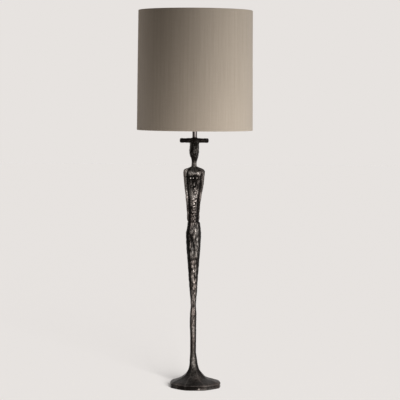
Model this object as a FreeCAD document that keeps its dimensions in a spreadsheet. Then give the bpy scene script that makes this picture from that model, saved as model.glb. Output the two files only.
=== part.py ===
import FreeCAD, Part
import math
import os
import re

import Sketcher

# A tall table lamp: a cast standing figure on an eight-sided foot, threaded on a steel core tube,
# with a crosspiece over its head, a lampholder and a drum shade. Millimetres, +Z up, the front
# towards -Y, the origin on the lamp's axis in the plane that it stands on.

Vector = FreeCAD.Vector

# ---------------------------------------------------------------- driving sizes

sizes = {
    # foot: felt, cover plate and cast body
    "felt_thickness": 1.0,
    "felt_proud": 0.5,
    "plate_thickness": 1.5,
    "plate_radius": 56.0,
    "plate_gap": 0.4,
    "foot_shift": 6.0,
    "rim_height": 13.0,
    "rim_across": 133.5,
    "cavity_radius": 52.0,
    "cavity_depth": 8.5,
    "pocket_radius": 20.0,
    "pocket_depth": 11.0,
    "boss_radius": 4.5,
    "boss_circle": 48.0,
    "boss_root": 1.0,
    "screw_radius": 1.5,
    "screw_head_radius": 2.9,
    "screw_length": 8.0,
    "thread_gap": 0.05,
    "cut_overrun": 1.0,
    # ballast
    "ballast_gap": 1.2,
    "ballast_hole_radius": 27.0,
    "ballast_headroom": 0.3,
    "ballast_slot": 13.0,
    # cord inlet in the back of the rim
    "inlet_level": 6.3,
    "inlet_hole_radius": 3.6,
    "inlet_bore_radius": 2.9,
    "inlet_flange_radius": 4.1,
    "inlet_flange_thickness": 1.2,
    "inlet_tail": 1.0,
    # terminal block on the cover plate
    "block_width": 18.0,
    "block_depth": 10.0,
    "block_height": 8.0,
    "block_front": 7.5,
    "block_way": 5.5,
    "block_hole_radius": 1.3,
    "block_hole_level": 3.4,
    "block_screw_radius": 1.2,
    "block_screw_setback": 7.0,
    # core tube and its clamp
    "core_outer": 8.0,
    "core_bore": 5.8,
    "core_gap": 0.2,
    "core_tail": 9.0,
    "core_head": 12.0,
    "washer_radius": 8.5,
    "washer_thickness": 1.2,
    "nut_across": 13.0,
    "nut_height": 5.0,
    # register between two castings: a ring that stands up into the next one
    "register_wall": 1.2,
    "register_height": 3.0,
    "register_gap": 0.1,
    # crosspiece over the head
    "crossbar_height": 15.5,
    "crossbar_length": 76.2,
    "crossbar_shift": -0.7,
    "crossbar_radius": 6.4,
    "crossbar_end_bevel": 2.6,
    "crossbar_level": 7.4,
    "hub_radius": 12.4,
    "hub_shoulder": 9.5,
    "hub_shoulder_radius": 9.6,
    "hub_top_radius": 6.9,
    # riser and lampholder
    "riser_outer": 12.7,
    "riser_bore": 8.6,
    "riser_length": 38.5,
    "bush_flange_radius": 7.0,
    "bush_flange_height": 2.5,
    "bush_thread_radius": 5.0,
    "lock_nut_across": 14.0,
    "lock_nut_height": 3.0,
    "holder_wall": 1.0,
    "holder_collar_radius": 7.4,
    "holder_collar_height": 5.0,
    "holder_radius": 19.0,
    "holder_dome_height": 5.0,
    "holder_dome_shoulder": 4.0,
    "holder_cap_height": 21.5,
    "holder_skirt_radius": 19.75,
    "holder_flange_radius": 24.0,
    "holder_flange_thickness": 1.5,
    "holder_flange_rise": 10.0,
    "holder_skirt_height": 27.0,
    # switch bar
    "switch_level": 18.0,
    "switch_bar_radius": 2.0,
    "switch_knob_gap": 1.0,
    "switch_knob_radius": 3.5,
    "switch_knob_length": 4.0,
    "switch_travel": 6.0,
    "switch_gap": 0.08,
    # ceramic insert and contacts
    "insert_radius": 17.4,
    "insert_bore": 14.0,
    "insert_bottom": 22.0,
    "insert_floor": 13.0,
    "insert_wall_height": 23.0,
    "shell_gap": 0.1,
    "shell_wall": 0.5,
    "shell_height": 21.0,
    "shell_lift": 1.5,
    "contact_radius": 4.0,
    "contact_height": 1.6,
    "wire_screw_head": 2.8,
    "wire_screw_height": 1.5,
    "wire_screw_spacing": 18.0,
    # bulb
    "bulb_gap": 0.1,
    "bulb_contact_radius": 4.6,
    "bulb_contact_height": 1.8,
    "bulb_contact_bevel": 1.0,
    "bulb_insulator_lip": 0.6,
    "bulb_insulator_height": 3.0,
    "bulb_cap_gap": 0.08,
    "bulb_cap_height": 21.0,
    "bulb_cap_wall": 1.0,
    "bulb_cap_floor": 1.5,
    "bulb_cap_bevel": 1.0,
    "bulb_neck_radius": 12.6,
    "bulb_radius": 30.0,
    "bulb_glass_height": 80.0,
    "bulb_glass_wall": 0.8,
    "bulb_stem_foot": 11.5,
    "bulb_stem_edge": 1.0,
    "bulb_stem_flare": 6.0,
    "bulb_stem_radius": 3.5,
    "bulb_stem_height": 17.0,
    "bulb_rod_radius": 1.4,
    "bulb_disc_radius": 6.4,
    "bulb_disc_thickness": 1.0,
    "filament_radius": 1.0,
    "filament_length": 34.0,
    "filament_circle": 5.0,
    "filament_gap": 0.1,
    # shade
    "seat_gap": 0.05,
    "fitter_thickness": 1.4,
    "fitter_gap": 0.35,
    "fitter_outer_radius": 28.5,
    "weld_gap": 0.15,
    "ring_nut_height": 7.5,
    "ring_nut_radius": 26.5,
    "ring_nut_gap": 0.08,
    "fitter_recess": 53.45,
    "shade_height": 314.0,
    "shade_bottom_radius": 152.5,
    "shade_taper": 2.3,
    "cloth_thickness": 0.8,
    "backing_thickness": 0.5,
    "shade_wire_radius": 1.9,
    "shade_wire_gap": 0.05,
    "hem_depth": 12.0,
    "arm_radius": 1.6,
    # wiring
    "lead_radius": 0.9,
    "lead_spread": 1.6,
    "lead_bend": 3.0,
    "lead_entry_gap": 1.0,
    "lead_approach": 4.5,
    "lead_overrun": 1.5,
    "lead_fan_rise": 1.2,
    "lead_end_gap": 0.3,
    "lead_wall_gap": 0.15,
    "neutral_offset": 2.2,
    "earth_angle": 157.1,
    "earth_drop": 2.0,
}

# Sections of the castings, each a rise above the one before it.

foot_sections = {  # rise, across flats, shift of the centre towards +X
    "apron": (3.0, 113.0, 4.8),
    "instep": (8.0, 69.3, 2.2),
    "flare": (8.0, 48.8, 3.2),
    "ankle": (16.0, 27.7, 2.5),
    "throat": (16.0, 20.2, 1.7),
    "stem_root": (25.5, 15.6, 0.2),
}

leg_sections = {  # rise, width, depth, shift, depth of the cleft, share of the eight-sided form
    "stem": (0.0, 15.6, 15.6, 0.2, 0.0, 1.0),
    "shin": (47.0, 15.5, 15.5, 0.15, 0.0, 0.9),
    "lower_calf": (32.0, 16.9, 16.4, -0.55, 0.7, 0.1),
    "calf": (20.0, 17.1, 17.4, -0.55, 1.0, 0.0),
    "knee": (28.0, 13.7, 15.0, -0.25, 0.6, 0.0),
    "above_knee": (40.0, 20.1, 18.0, -0.25, 1.4, 0.0),
    "lower_thigh": (48.0, 26.2, 21.5, -0.9, 2.2, 0.0),
    "thigh": (48.0, 33.3, 24.5, -0.75, 3.0, 0.0),
    "upper_thigh": (32.0, 37.8, 26.5, -1.0, 3.2, 0.0),
    "hip": (23.5, 39.8, 27.5, -1.0, 1.6, 0.0),
    "pelvis": (15.5, 36.0, 25.5, -0.4, 0.5, 0.0),
    "hip_top": (16.0, 32.5, 23.0, -0.3, 0.0, 0.0),
}

torso_sections = {  # rise, width, depth, shift, width of an arm
    "waist": (0.0, 30.0, 22.0, -2.0, 6.0),
    "belly": (16.0, 32.7, 22.5, -2.15, 6.4),
    "lower_ribs": (24.0, 36.2, 23.5, -2.2, 7.0),
    "ribs": (24.0, 39.7, 24.5, -1.85, 7.6),
    "lower_chest": (24.0, 48.6, 25.5, -1.2, 8.6),
    "chest": (31.0, 55.1, 26.0, -0.75, 9.4),
    "shoulder": (13.0, 57.0, 25.5, -0.6, 10.0),
    "shoulder_top": (6.0, 51.7, 22.5, -0.95, 10.0),
    "collar": (3.0, 39.5, 19.0, -0.65, 8.0),
    "nape": (2.7, 24.0, 16.5, -0.8, 0.0),
    "neck_seat": (2.3, 15.5, 14.5, -1.3, 0.0),
}

head_sections = {  # rise, width, depth, shift
    "neck_root": (0.0, 14.0, 13.6, -1.2),
    "neck": (8.0, 13.1, 13.2, -1.05),
    "upper_neck": (7.0, 14.4, 15.4, -0.4),
    "chin": (6.0, 17.7, 19.4, -0.05),
    "jaw": (7.0, 22.2, 23.4, -0.9),
    "cheek": (11.0, 26.1, 27.0, -1.25),
    "brow": (11.0, 24.9, 26.4, -0.75),
    "crown": (11.0, 24.6, 24.6, -0.25),
}

foot_fields = ("across", "shift")
leg_fields = ("width", "depth", "shift", "cleft", "facet")
torso_fields = ("width", "depth", "shift", "arm")
head_fields = ("width", "depth", "shift")

for table, fields in (
        (foot_sections, foot_fields), (leg_sections, leg_fields),
        (torso_sections, torso_fields), (head_sections, head_fields)):
    for section, (rise, *numbers) in table.items():
        if rise:
            sizes[f"{section}_rise"] = rise
        for field, number in zip(fields, numbers):
            sizes[f"{section}_{field}"] = number


def stacked(table):
    """The sum of the rises in a table of sections."""
    return " + ".join(f"{name}_rise" for name, numbers in table.items() if numbers[0])


# Levels and fits that follow from the driving sizes.
derived = {
    "plate_top": "felt_thickness + plate_thickness",
    "recess_radius": "plate_radius + plate_gap",
    "cavity_top": "plate_top + cavity_depth",
    "ballast_radius": "cavity_radius - ballast_gap",
    "pocket_top": "cavity_top + pocket_depth",
    "rim_top": "felt_proud + rim_height",
    "foot_top": "rim_top + " + stacked(foot_sections),
    "legs_top": "foot_top + " + stacked(leg_sections),
    "torso_top": "legs_top + " + stacked(torso_sections),
    "head_top": "torso_top + " + stacked(head_sections),
    "crossbar_top": "head_top + crossbar_height",
    "riser_top": "crossbar_top + riser_length",
    "core_hole_radius": "core_outer / 2 + core_gap",
    "register_radius": "core_hole_radius + register_wall",
    "core_bottom": "pocket_top - core_tail",
    "core_top": "riser_top + core_head",
    "cap_bottom": "riser_top + bush_flange_height",
    "cap_floor": "holder_collar_height + holder_wall",
    "cap_top": "cap_bottom + holder_cap_height",
    "seat_level": "cap_top + holder_flange_rise",
    "switch_bar_length": "2 * (holder_radius + switch_knob_gap) + switch_travel",
    "insert_level": "riser_top + insert_bottom",
    "shell_outer": "insert_bore - shell_gap",
    "shell_inner": "shell_outer - shell_wall",
    "contact_top": "insert_level + insert_floor + contact_height",
    "bulb_bottom": "contact_top + bulb_gap",
    "bulb_cap_radius": "shell_inner - bulb_cap_gap",
    "bulb_cap_level": "bulb_bottom + bulb_contact_height + bulb_insulator_height",
    "glass_level": "bulb_cap_level + bulb_cap_height",
    "fitter_level": "seat_level + seat_gap",
    "ring_nut_level": "fitter_level + fitter_thickness + seat_gap",
    "shade_bottom": "fitter_level - fitter_recess",
    "shade_top": "shade_bottom + shade_height",
    "shade_top_radius": "shade_bottom_radius - shade_taper",
    "lining": "cloth_thickness + backing_thickness",
    "wire_inset": "lining + shade_wire_gap + shade_wire_radius",
    "wire_lift": "cloth_thickness + shade_wire_gap + shade_wire_radius",
    "hem_width": "wire_inset + shade_wire_radius + shade_wire_gap + cloth_thickness",
}

doc = FreeCAD.newDocument("figure_lamp")
sheet = doc.addObject("Spreadsheet::Sheet", "Sizes")
for row, (name, number) in enumerate(sizes.items(), start=1):
    sheet.set(f"A{row}", str(number))
    sheet.setAlias(f"A{row}", name)
doc.recompute()


def bound(formula):
    """A formula in size names as an expression that reads the sheet."""
    def reference(match):
        name = match.group(0)
        if name in derived:
            return "(" + bound(derived[name]) + ")"
        return "Sizes." + name if name in sizes else name
    return re.sub(r"[a-z][a-z_0-9]*", reference, str(formula))


def value(formula):
    return float(sheet.evalExpression(bound(formula)))


# ---------------------------------------------------------------- sketches and features

nodes = []


def new_body(label, level="0"):
    """A body whose own zero lies at the given level of the lamp."""
    body = doc.addObject("PartDesign::Body", label)
    body.setExpression("Placement.Base.z", bound(level))
    nodes.append(body)
    return body


def new_sketch(body, plane="XY_Plane", offset="0"):
    sketch = body.newObject("Sketcher::SketchObject", body.Name + "_sketch")
    support = [feature for feature in body.Origin.OriginFeatures if feature.Role == plane]
    sketch.AttachmentSupport = [(support[0], "")]
    sketch.MapMode = "FlatFace"
    sketch.setExpression("AttachmentOffset.Base.z", bound(offset))
    return sketch


def draw_outline(sketch, points):
    """A closed outline of straight lines; each corner is held by two formulas."""
    corners = [Vector(value(x), value(y), 0) for x, y in points]
    count = len(corners)
    first = sketch.GeometryCount
    sketch.addGeometry([Part.LineSegment(corners[i], corners[(i + 1) % count]) for i in range(count)])
    rules = []
    for i in range(count):
        rules.append(Sketcher.Constraint("Coincident", first + (i - 1) % count, 2, first + i, 1))
    for i, corner in enumerate(corners):
        rules.append(Sketcher.Constraint("DistanceX", -1, 1, first + i, 1, corner.x))
        rules.append(Sketcher.Constraint("DistanceY", -1, 1, first + i, 1, corner.y))
    start = sketch.ConstraintCount + count
    sketch.addConstraint(rules)
    for i, (x, y) in enumerate(points):
        sketch.setExpression(f"Constraints[{start + 2 * i}]", bound(x))
        sketch.setExpression(f"Constraints[{start + 2 * i + 1}]", bound(y))


def draw_circle(sketch, radius, x="0", y="0"):
    middle = Vector(value(x), value(y), 0)
    circle = sketch.addGeometry(Part.Circle(middle, Vector(0, 0, 1), value(radius)))
    start = sketch.ConstraintCount
    sketch.addConstraint([
        Sketcher.Constraint("DistanceX", -1, 1, circle, 3, middle.x),
        Sketcher.Constraint("DistanceY", -1, 1, circle, 3, middle.y),
        Sketcher.Constraint("Radius", circle, value(radius)),
    ])
    for i, formula in enumerate((x, y, radius)):
        sketch.setExpression(f"Constraints[{start + i}]", bound(formula))


def polygon_points(sides, across, x="0"):
    """Corners of a regular polygon with a flat side facing -Y."""
    half_turn = 180 / sides
    corners = []
    for i in range(sides):
        angle = 2 * half_turn * i - 90 + half_turn
        reach = f"({across}) / 2 / cos({half_turn})"
        corners.append((f"{x} + {reach} * cos({angle})", f"{reach} * sin({angle})"))
    return corners


def add_pad(body, sketch, length):
    pad = body.newObject("PartDesign::Pad", body.Name + "_pad")
    pad.Profile = sketch
    pad.setExpression("Length", bound(length))
    doc.recompute()
    return pad


def add_pocket(body, sketch, length, upward=True):
    """A cut that starts at the sketch; it has to take material away."""
    before = body.Shape.Volume
    pocket = body.newObject("PartDesign::Pocket", body.Name + "_pocket")
    pocket.Profile = sketch
    pocket.Reversed = upward
    pocket.setExpression("Length", bound(length))
    doc.recompute()
    if body.Shape.Volume >= before:
        raise ValueError(f"{pocket.Label} cuts nothing")
    return pocket


def add_turn(body, sketch, kind="PartDesign::Revolution", axis="V_Axis"):
    turn = body.newObject(kind, body.Name + "_turn")
    turn.Profile = sketch
    turn.ReferenceAxis = (sketch, [axis])
    turn.Angle = 360
    doc.recompute()
    return turn


def turned(label, level, points):
    """A turned piece: its outline gives radius and height above its own level."""
    body = new_body(label, level)
    sketch = new_sketch(body, "XZ_Plane")
    draw_outline(sketch, points)
    add_turn(body, sketch)
    return body


def tube(label, level, outer, inner, length):
    return turned(label, level, [(inner, "0"), (outer, "0"), (outer, length), (inner, length)])


def hexagon(label, level, across, height, hole):
    body = new_body(label, level)
    sketch = new_sketch(body)
    draw_outline(sketch, polygon_points(6, across))
    draw_circle(sketch, hole)
    add_pad(body, sketch, height)
    return body


def shaped(label, shape, level="0"):
    """A free-form piece whose shape is worked out from the sheet's sizes."""
    piece = doc.addObject("Part::Feature", label)
    piece.Shape = shape
    piece.Placement = FreeCAD.Placement(Vector(0, 0, value(level)), FreeCAD.Rotation())
    nodes.append(piece)
    return piece


def cylinder(radius, low, high, x=0.0, y=0.0):
    return Part.makeCylinder(radius, high - low, Vector(x, y, low))


# ---------------------------------------------------------------- foot

screw_angles = (-90, 30, 150)


def on_boss_circle(angle):
    return f"foot_shift + boss_circle * cos({angle})", f"boss_circle * sin({angle})"


def make_foot_casting():
    """An eight-sided foot, flat side forward, that rises in a hollow curve into a stem."""
    body = new_body("foot_casting")
    rim = new_sketch(body, offset="felt_proud")
    draw_outline(rim, polygon_points(8, "rim_across", "foot_shift"))
    add_pad(body, rim, "rim_height")

    profile = new_sketch(body, offset="rim_top")
    draw_outline(profile, polygon_points(8, "rim_across", "foot_shift"))
    level = "rim_top"
    sections = []
    for name in foot_sections:
        level += f" + {name}_rise"
        section = new_sketch(body, offset=level)
        draw_outline(section, polygon_points(8, f"{name}_across", f"{name}_shift"))
        sections.append(section)
    flare = body.newObject("PartDesign::AdditiveLoft", "flare_loft")
    flare.Profile = profile
    flare.Sections = sections
    doc.recompute()

    register = new_sketch(body, offset="foot_top")
    draw_circle(register, "register_radius")
    add_pad(body, register, "register_height")

    recess = new_sketch(body, offset="felt_proud")
    draw_circle(recess, "recess_radius", "foot_shift")
    add_pocket(body, recess, "plate_top - felt_proud")
    cavity = new_sketch(body, offset="plate_top")
    draw_circle(cavity, "cavity_radius", "foot_shift")
    add_pocket(body, cavity, "cavity_depth")

    bosses = new_sketch(body, offset="plate_top")
    for angle in screw_angles:
        draw_circle(bosses, "boss_radius", *on_boss_circle(angle))
    add_pad(body, bosses, "cavity_depth + boss_root")
    taps = new_sketch(body, offset="plate_top")
    for angle in screw_angles:
        draw_circle(taps, "screw_radius + thread_gap", *on_boss_circle(angle))
    add_pocket(body, taps, "cavity_depth")

    pocket = new_sketch(body, offset="plate_top")
    draw_circle(pocket, "pocket_radius")
    add_pocket(body, pocket, "pocket_top - plate_top")
    core = new_sketch(body, offset="plate_top")
    draw_circle(core, "core_hole_radius")
    add_pocket(body, core, "foot_top + register_height")

    inlet = new_sketch(body, "XZ_Plane", "-cavity_radius / 2")
    draw_circle(inlet, "inlet_hole_radius", "foot_shift", "inlet_level")
    add_pocket(body, inlet, "rim_across", upward=False)


def make_underside():
    plate = new_body("base_plate", "felt_thickness")
    disc = new_sketch(plate)
    draw_circle(disc, "plate_radius", "foot_shift")
    add_pad(plate, disc, "plate_thickness")
    marks = new_sketch(plate)
    for angle in screw_angles:
        draw_circle(marks, "screw_radius", *on_boss_circle(angle))
    doc.recompute()
    before = plate.Shape.Volume
    holes = plate.newObject("PartDesign::Hole", "plate_holes")
    holes.Profile = marks
    doc.recompute()
    holes.Threaded = False
    holes.DepthType = "ThroughAll"
    holes.HoleCutType = "Countersink"
    holes.HoleCutCountersinkAngle = 90
    holes.setExpression("Diameter", bound("2 * (screw_radius + thread_gap)"))
    holes.setExpression("HoleCutDiameter", bound("2 * (screw_head_radius + thread_gap)"))
    holes.Reversed = True
    doc.recompute()
    if plate.Shape.Volume >= before:
        raise ValueError("the plate's screw holes cut nothing")

    felt = doc.addObject("Part::Cylinder", "felt_pad")
    felt.setExpression("Radius", bound("plate_radius"))
    felt.setExpression("Height", bound("felt_thickness"))
    felt.setExpression("Placement.Base.x", bound("foot_shift"))
    nodes.append(felt)

    screw = turned("screw_pattern", "felt_thickness", [
        ("0", "0"), ("screw_head_radius", "0"),
        ("screw_radius", "screw_head_radius - screw_radius"),
        ("screw_radius", "screw_length"), ("0", "screw_length")])
    nodes.remove(screw)
    copies = []
    for angle in screw_angles:
        x, y = on_boss_circle(angle)
        copy = screw.Shape.copy()
        copy.translate(Vector(value(x), value(y), 0))
        copies.append(copy)
    shaped("base_plate_screws", Part.makeCompound(copies))


def make_ballast():
    """An iron ring round the wiring space, notched for the bosses and the cord."""
    body = new_body("ballast_ring", "plate_top")
    ring = new_sketch(body)
    draw_circle(ring, "ballast_radius", "foot_shift")
    draw_circle(ring, "ballast_hole_radius", "foot_shift")
    add_pad(body, ring, "cavity_depth - ballast_headroom")
    notches = new_sketch(body)
    for angle in screw_angles:
        draw_circle(notches, "boss_radius + ballast_headroom", *on_boss_circle(angle))
    add_pocket(body, notches, "cavity_depth")
    slot = new_sketch(body)
    left = "foot_shift - ballast_slot / 2"
    right = "foot_shift + ballast_slot / 2"
    draw_outline(slot, [(left, "0"), (right, "0"), (right, "cavity_radius"), (left, "cavity_radius")])
    add_pocket(body, slot, "cavity_depth")


def make_inlet_bush():
    """A flanged bush that lines the cord hole in the back of the rim."""
    body = new_body("inlet_bush", "inlet_level")
    body.setExpression("Placement.Base.x", bound("foot_shift"))
    face = "-(rim_across / 2)"
    barrel = new_sketch(body, "XZ_Plane", face)
    draw_circle(barrel, "inlet_hole_radius - thread_gap")
    add_pad(body, barrel, "rim_across / 2 - cavity_radius + inlet_tail")
    flange = new_sketch(body, "XZ_Plane", face + " - inlet_flange_thickness")
    draw_circle(flange, "inlet_flange_radius")
    add_pad(body, flange, "inlet_flange_thickness")
    bore = new_sketch(body, "XZ_Plane")
    draw_circle(bore, "inlet_bore_radius")
    add_pocket(body, bore, "rim_across", upward=False)


ways = (-1, 0, 1)


def make_terminal_block():
    """A three-way block on the cover plate, where the mains lead would end."""
    body = new_body("terminal_block", "plate_top")
    outline = new_sketch(body)
    back = "block_front + block_depth"
    draw_outline(outline, [
        ("-block_width / 2", "block_front"), ("block_width / 2", "block_front"),
        ("block_width / 2", back), ("-block_width / 2", back)])
    add_pad(body, outline, "block_height")
    wells = new_sketch(body, "XZ_Plane")
    for way in ways:
        draw_circle(wells, "block_hole_radius", f"{way} * block_way", "block_hole_level")
    add_pocket(body, wells, "block_front + block_depth + cut_overrun", upward=False)
    towers = new_sketch(body, offset="block_hole_level + block_hole_radius")
    for way in ways:
        draw_circle(towers, "block_screw_radius + thread_gap", f"{way} * block_way",
                    "block_front + block_screw_setback")
    add_pocket(body, towers, "block_height")

    low = value("plate_top + block_hole_level + block_hole_radius") + value("thread_gap")
    high = value("plate_top + block_height")
    y = value("block_front + block_screw_setback")
    screws = [cylinder(value("block_screw_radius"), low, high, way * value("block_way"), y) for way in ways]
    shaped("terminal_block_screws", Part.makeCompound(screws))


def make_core():
    tube("core_tube", "core_bottom", "core_outer / 2", "core_bore / 2", "core_top - core_bottom")
    tube("tube_washer", "pocket_top - washer_thickness", "washer_radius", "core_hole_radius",
         "washer_thickness")
    hexagon("tube_nut", "pocket_top - washer_thickness - nut_height", "nut_across", "nut_height",
            "core_outer / 2 + thread_gap")


# ---------------------------------------------------------------- figure

section_steps = 32
station_spacing = 12.0
cleft_spread = 0.06
arm_overlap = 1.3
arm_deepness = 1.45
least_arm = 0.1


def levels_of(table):
    """Height of each section above the lowest one."""
    height = 0.0
    levels = []
    for name, numbers in table.items():
        if numbers[0]:
            height += value(f"{name}_rise")
        levels.append(height)
    return levels


def smooth_curve(levels, widths, height):
    """A curve through the sections that never swings past a wide or a narrow one."""
    spans = [high - low for low, high in zip(levels, levels[1:])]
    slopes = [(b - a) / span for a, b, span in zip(widths, widths[1:], spans)]
    tangents = [slopes[0]]
    for below, above in zip(slopes, slopes[1:]):
        same_way = below * above > 0
        tangents.append(2 * below * above / (below + above) if same_way else 0.0)
    tangents.append(slopes[-1])
    i = max(k for k in range(len(spans)) if levels[k] <= height or k == 0)
    part = (height - levels[i]) / spans[i]
    rest = 1 - part
    return (widths[i] * rest ** 2 * (1 + 2 * part) + widths[i + 1] * part ** 2 * (1 + 2 * rest)
            + spans[i] * (tangents[i] * part * rest ** 2 - tangents[i + 1] * part ** 2 * rest))


def oval_reach(angle, half_width, half_depth, power=2.3):
    across = abs(math.cos(angle)) / half_width
    along = abs(math.sin(angle)) / half_depth
    return (across ** power + along ** power) ** (-1 / power)


def octagon_reach(angle, half_width):
    eighth = math.radians(45)
    return half_width / math.cos((angle + eighth / 2) % eighth - eighth / 2)


def leg_reach(at, angle):
    """The stem is eight-sided; above it the outline is an oval, cleft in front and behind."""
    half_width = at["width"] / 2
    reach = oval_reach(angle, half_width, at["depth"] / 2)
    off_middle = (abs(math.sin(angle)) - 1) / cleft_spread
    reach -= at["cleft"] * math.exp(-off_middle ** 2)
    return reach + at["facet"] * (octagon_reach(angle, half_width) - reach)


def torso_reach(at, angle):
    """A chest between two arms that hang close, so that a groove runs down inside each arm."""
    half_width = at["width"] / 2
    arm = at["arm"] / 2
    reach = oval_reach(angle, half_width - arm_overlap * arm, at["depth"] / 2)
    if arm < least_arm:
        return reach
    # far side of an arm's ellipse along a ray from the middle
    middle = half_width - arm
    deep = arm_deepness * arm
    a = (math.cos(angle) / arm) ** 2 + (math.sin(angle) / deep) ** 2
    b = -2 * abs(math.cos(angle)) * middle / arm ** 2
    c = (middle / arm) ** 2 - 1
    inside = b * b - 4 * a * c
    if inside > 0:
        reach = max(reach, (-b + math.sqrt(inside)) / (2 * a))
    return reach


def head_reach(at, angle):
    return oval_reach(angle, at["width"] / 2, at["depth"] / 2, 2.1)


def lofted(table, fields, bottom, reach_of):
    """A smooth solid through evenly spaced stations, each a closed curve about a shifted middle."""
    levels = levels_of(table)
    measures = {}
    for field in fields:
        measures[field] = [value(f"{name}_{field}") for name in table]
    count = math.ceil(levels[-1] / station_spacing)
    wires = []
    for station in range(count + 1):
        height = levels[-1] * station / count
        at = {field: smooth_curve(levels, measures[field], height) for field in fields}
        points = []
        for step in range(section_steps):
            angle = 2 * math.pi * step / section_steps
            reach = reach_of(at, angle)
            x = at["shift"] + reach * math.cos(angle)
            points.append(Vector(x, reach * math.sin(angle), value(bottom) + height))
        curve = Part.BSplineCurve()
        curve.interpolate(Points=points, PeriodicFlag=True)
        wires.append(Part.Wire([curve.toShape()]))
    return Part.makeLoft(wires, True, False)


def casting(label, table, fields, bottom, top, reach_of):
    """A casting bored for the core tube, with a socket below and a register ring on top."""
    low = value(bottom)
    high = value(top)
    rise = value("register_height")
    gap = value("register_gap")
    ring = value("register_radius")
    body = lofted(table, fields, bottom, reach_of)
    body = body.fuse(cylinder(ring, high - rise, high + rise))
    body = body.cut(cylinder(value("core_hole_radius"), low - rise, high + 2 * rise))
    body = body.cut(cylinder(ring + gap, low - rise, low + rise + gap))
    return shaped(label, body)


def make_figure():
    casting("legs_casting", leg_sections, leg_fields, "foot_top", "legs_top", leg_reach)
    casting("torso_casting", torso_sections, torso_fields, "legs_top", "torso_top", torso_reach)
    casting("head_casting", head_sections, head_fields, "torso_top", "head_top", head_reach)


def make_crossbar():
    """A round bar over the head, with a hub that narrows up to the riser."""
    body = new_body("crossbar", "head_top")
    hub = new_sketch(body, "XZ_Plane")
    draw_outline(hub, [
        ("0", "0"), ("hub_radius", "0"), ("hub_radius", "hub_shoulder"),
        ("hub_shoulder_radius", "hub_shoulder + crossbar_end_bevel"),
        ("hub_top_radius", "crossbar_height"), ("0", "crossbar_height")])
    add_turn(body, hub)
    bar = new_sketch(body, "XY_Plane", "crossbar_level")
    left = "crossbar_shift - crossbar_length / 2"
    right = "crossbar_shift + crossbar_length / 2"
    draw_outline(bar, [
        (left, "0"), (left, "crossbar_radius - crossbar_end_bevel"),
        (left + " + crossbar_end_bevel", "crossbar_radius"),
        (right + " - crossbar_end_bevel", "crossbar_radius"),
        (right, "crossbar_radius - crossbar_end_bevel"), (right, "0")])
    add_turn(body, bar, axis="H_Axis")
    socket = new_sketch(body)
    draw_circle(socket, "register_radius + register_gap")
    add_pocket(body, socket, "register_height + register_gap")
    core = new_sketch(body)
    draw_circle(core, "core_hole_radius")
    add_pocket(body, core, "crossbar_height + cut_overrun")


# ---------------------------------------------------------------- riser and lampholder

def make_riser():
    tube("riser_tube", "crossbar_top", "riser_outer / 2", "riser_bore / 2", "riser_length")
    inner = "core_outer / 2 + thread_gap"
    flange = "bush_flange_height"
    turned("reducer_bush", "riser_top", [
        (inner, "0"), ("bush_flange_radius", "0"), ("bush_flange_radius", flange),
        ("bush_thread_radius", flange), ("bush_thread_radius", "core_head"), (inner, "core_head")])
    hexagon("holder_lock_nut", "cap_bottom + cap_floor", "lock_nut_across", "lock_nut_height",
            "bush_thread_radius + thread_gap")


def make_holder():
    """A brass lampholder: domed cap, screwed shell with a flange and skirt, ceramic insert."""
    cap = new_body("holder_cap", "cap_bottom")
    section = new_sketch(cap, "XZ_Plane")
    bore = "bush_thread_radius + thread_gap"
    dome = "cap_floor + holder_dome_height"
    inside = "holder_radius - holder_wall"
    draw_outline(section, [
        (bore, "0"), ("holder_collar_radius", "0"), ("holder_collar_radius", "holder_collar_height"),
        ("holder_radius - holder_dome_shoulder", "holder_collar_height"), ("holder_radius", dome),
        ("holder_radius", "holder_cap_height"), (inside, "holder_cap_height"), (inside, dome),
        ("holder_radius - holder_wall - holder_dome_shoulder", "cap_floor"), (bore, "cap_floor")])
    add_turn(cap, section)
    hole = new_sketch(cap, "YZ_Plane", "-switch_bar_length")
    draw_circle(hole, "switch_bar_radius + switch_gap", "0", "switch_level - bush_flange_height")
    add_pocket(cap, hole, "2 * switch_bar_length")

    rise = "holder_flange_rise"
    under = "holder_flange_rise - holder_flange_thickness"
    turned("holder_body", "cap_top", [
        ("holder_radius - holder_wall", "0"), ("holder_radius", "0"), ("holder_radius", under),
        ("holder_flange_radius", under), ("holder_flange_radius", rise),
        ("holder_skirt_radius", rise), ("holder_skirt_radius", rise + " + holder_skirt_height"),
        ("holder_radius - holder_wall", rise + " + holder_skirt_height")])

    floor = "insert_floor"
    wall_top = "insert_floor + insert_wall_height"
    turned("ceramic_insert", "insert_level", [
        ("0", "0"), ("insert_radius", "0"), ("insert_radius", wall_top), ("insert_bore", wall_top),
        ("insert_bore", floor), ("0", floor)])
    lift = "insert_level + insert_floor + shell_lift"
    tube("screw_shell", lift, "shell_outer", "shell_inner", "shell_height")
    turned("centre_contact", "insert_level + insert_floor", [
        ("0", "0"), ("contact_radius", "0"), ("contact_radius", "contact_height / 2"),
        ("contact_radius / 2", "contact_height"), ("0", "contact_height")])


def make_switch_bar():
    """The push bar runs across the cap, pushed home on the +X side by one travel."""
    body = new_body("switch_bar", "riser_top + switch_level")
    body.setExpression("Placement.Base.x", bound("-switch_travel / 2"))
    section = new_sketch(body, "XZ_Plane")
    half = "switch_bar_length / 2"
    knob = "switch_bar_length / 2 + switch_knob_length"
    draw_outline(section, [
        (f"-({knob})", "0"), (f"-({knob})", "switch_knob_radius"), (f"-({half})", "switch_knob_radius"),
        (f"-({half})", "switch_bar_radius"), (half, "switch_bar_radius"),
        (half, "switch_knob_radius"), (knob, "switch_knob_radius"), (knob, "0")])
    add_turn(body, section, axis="H_Axis")


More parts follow.
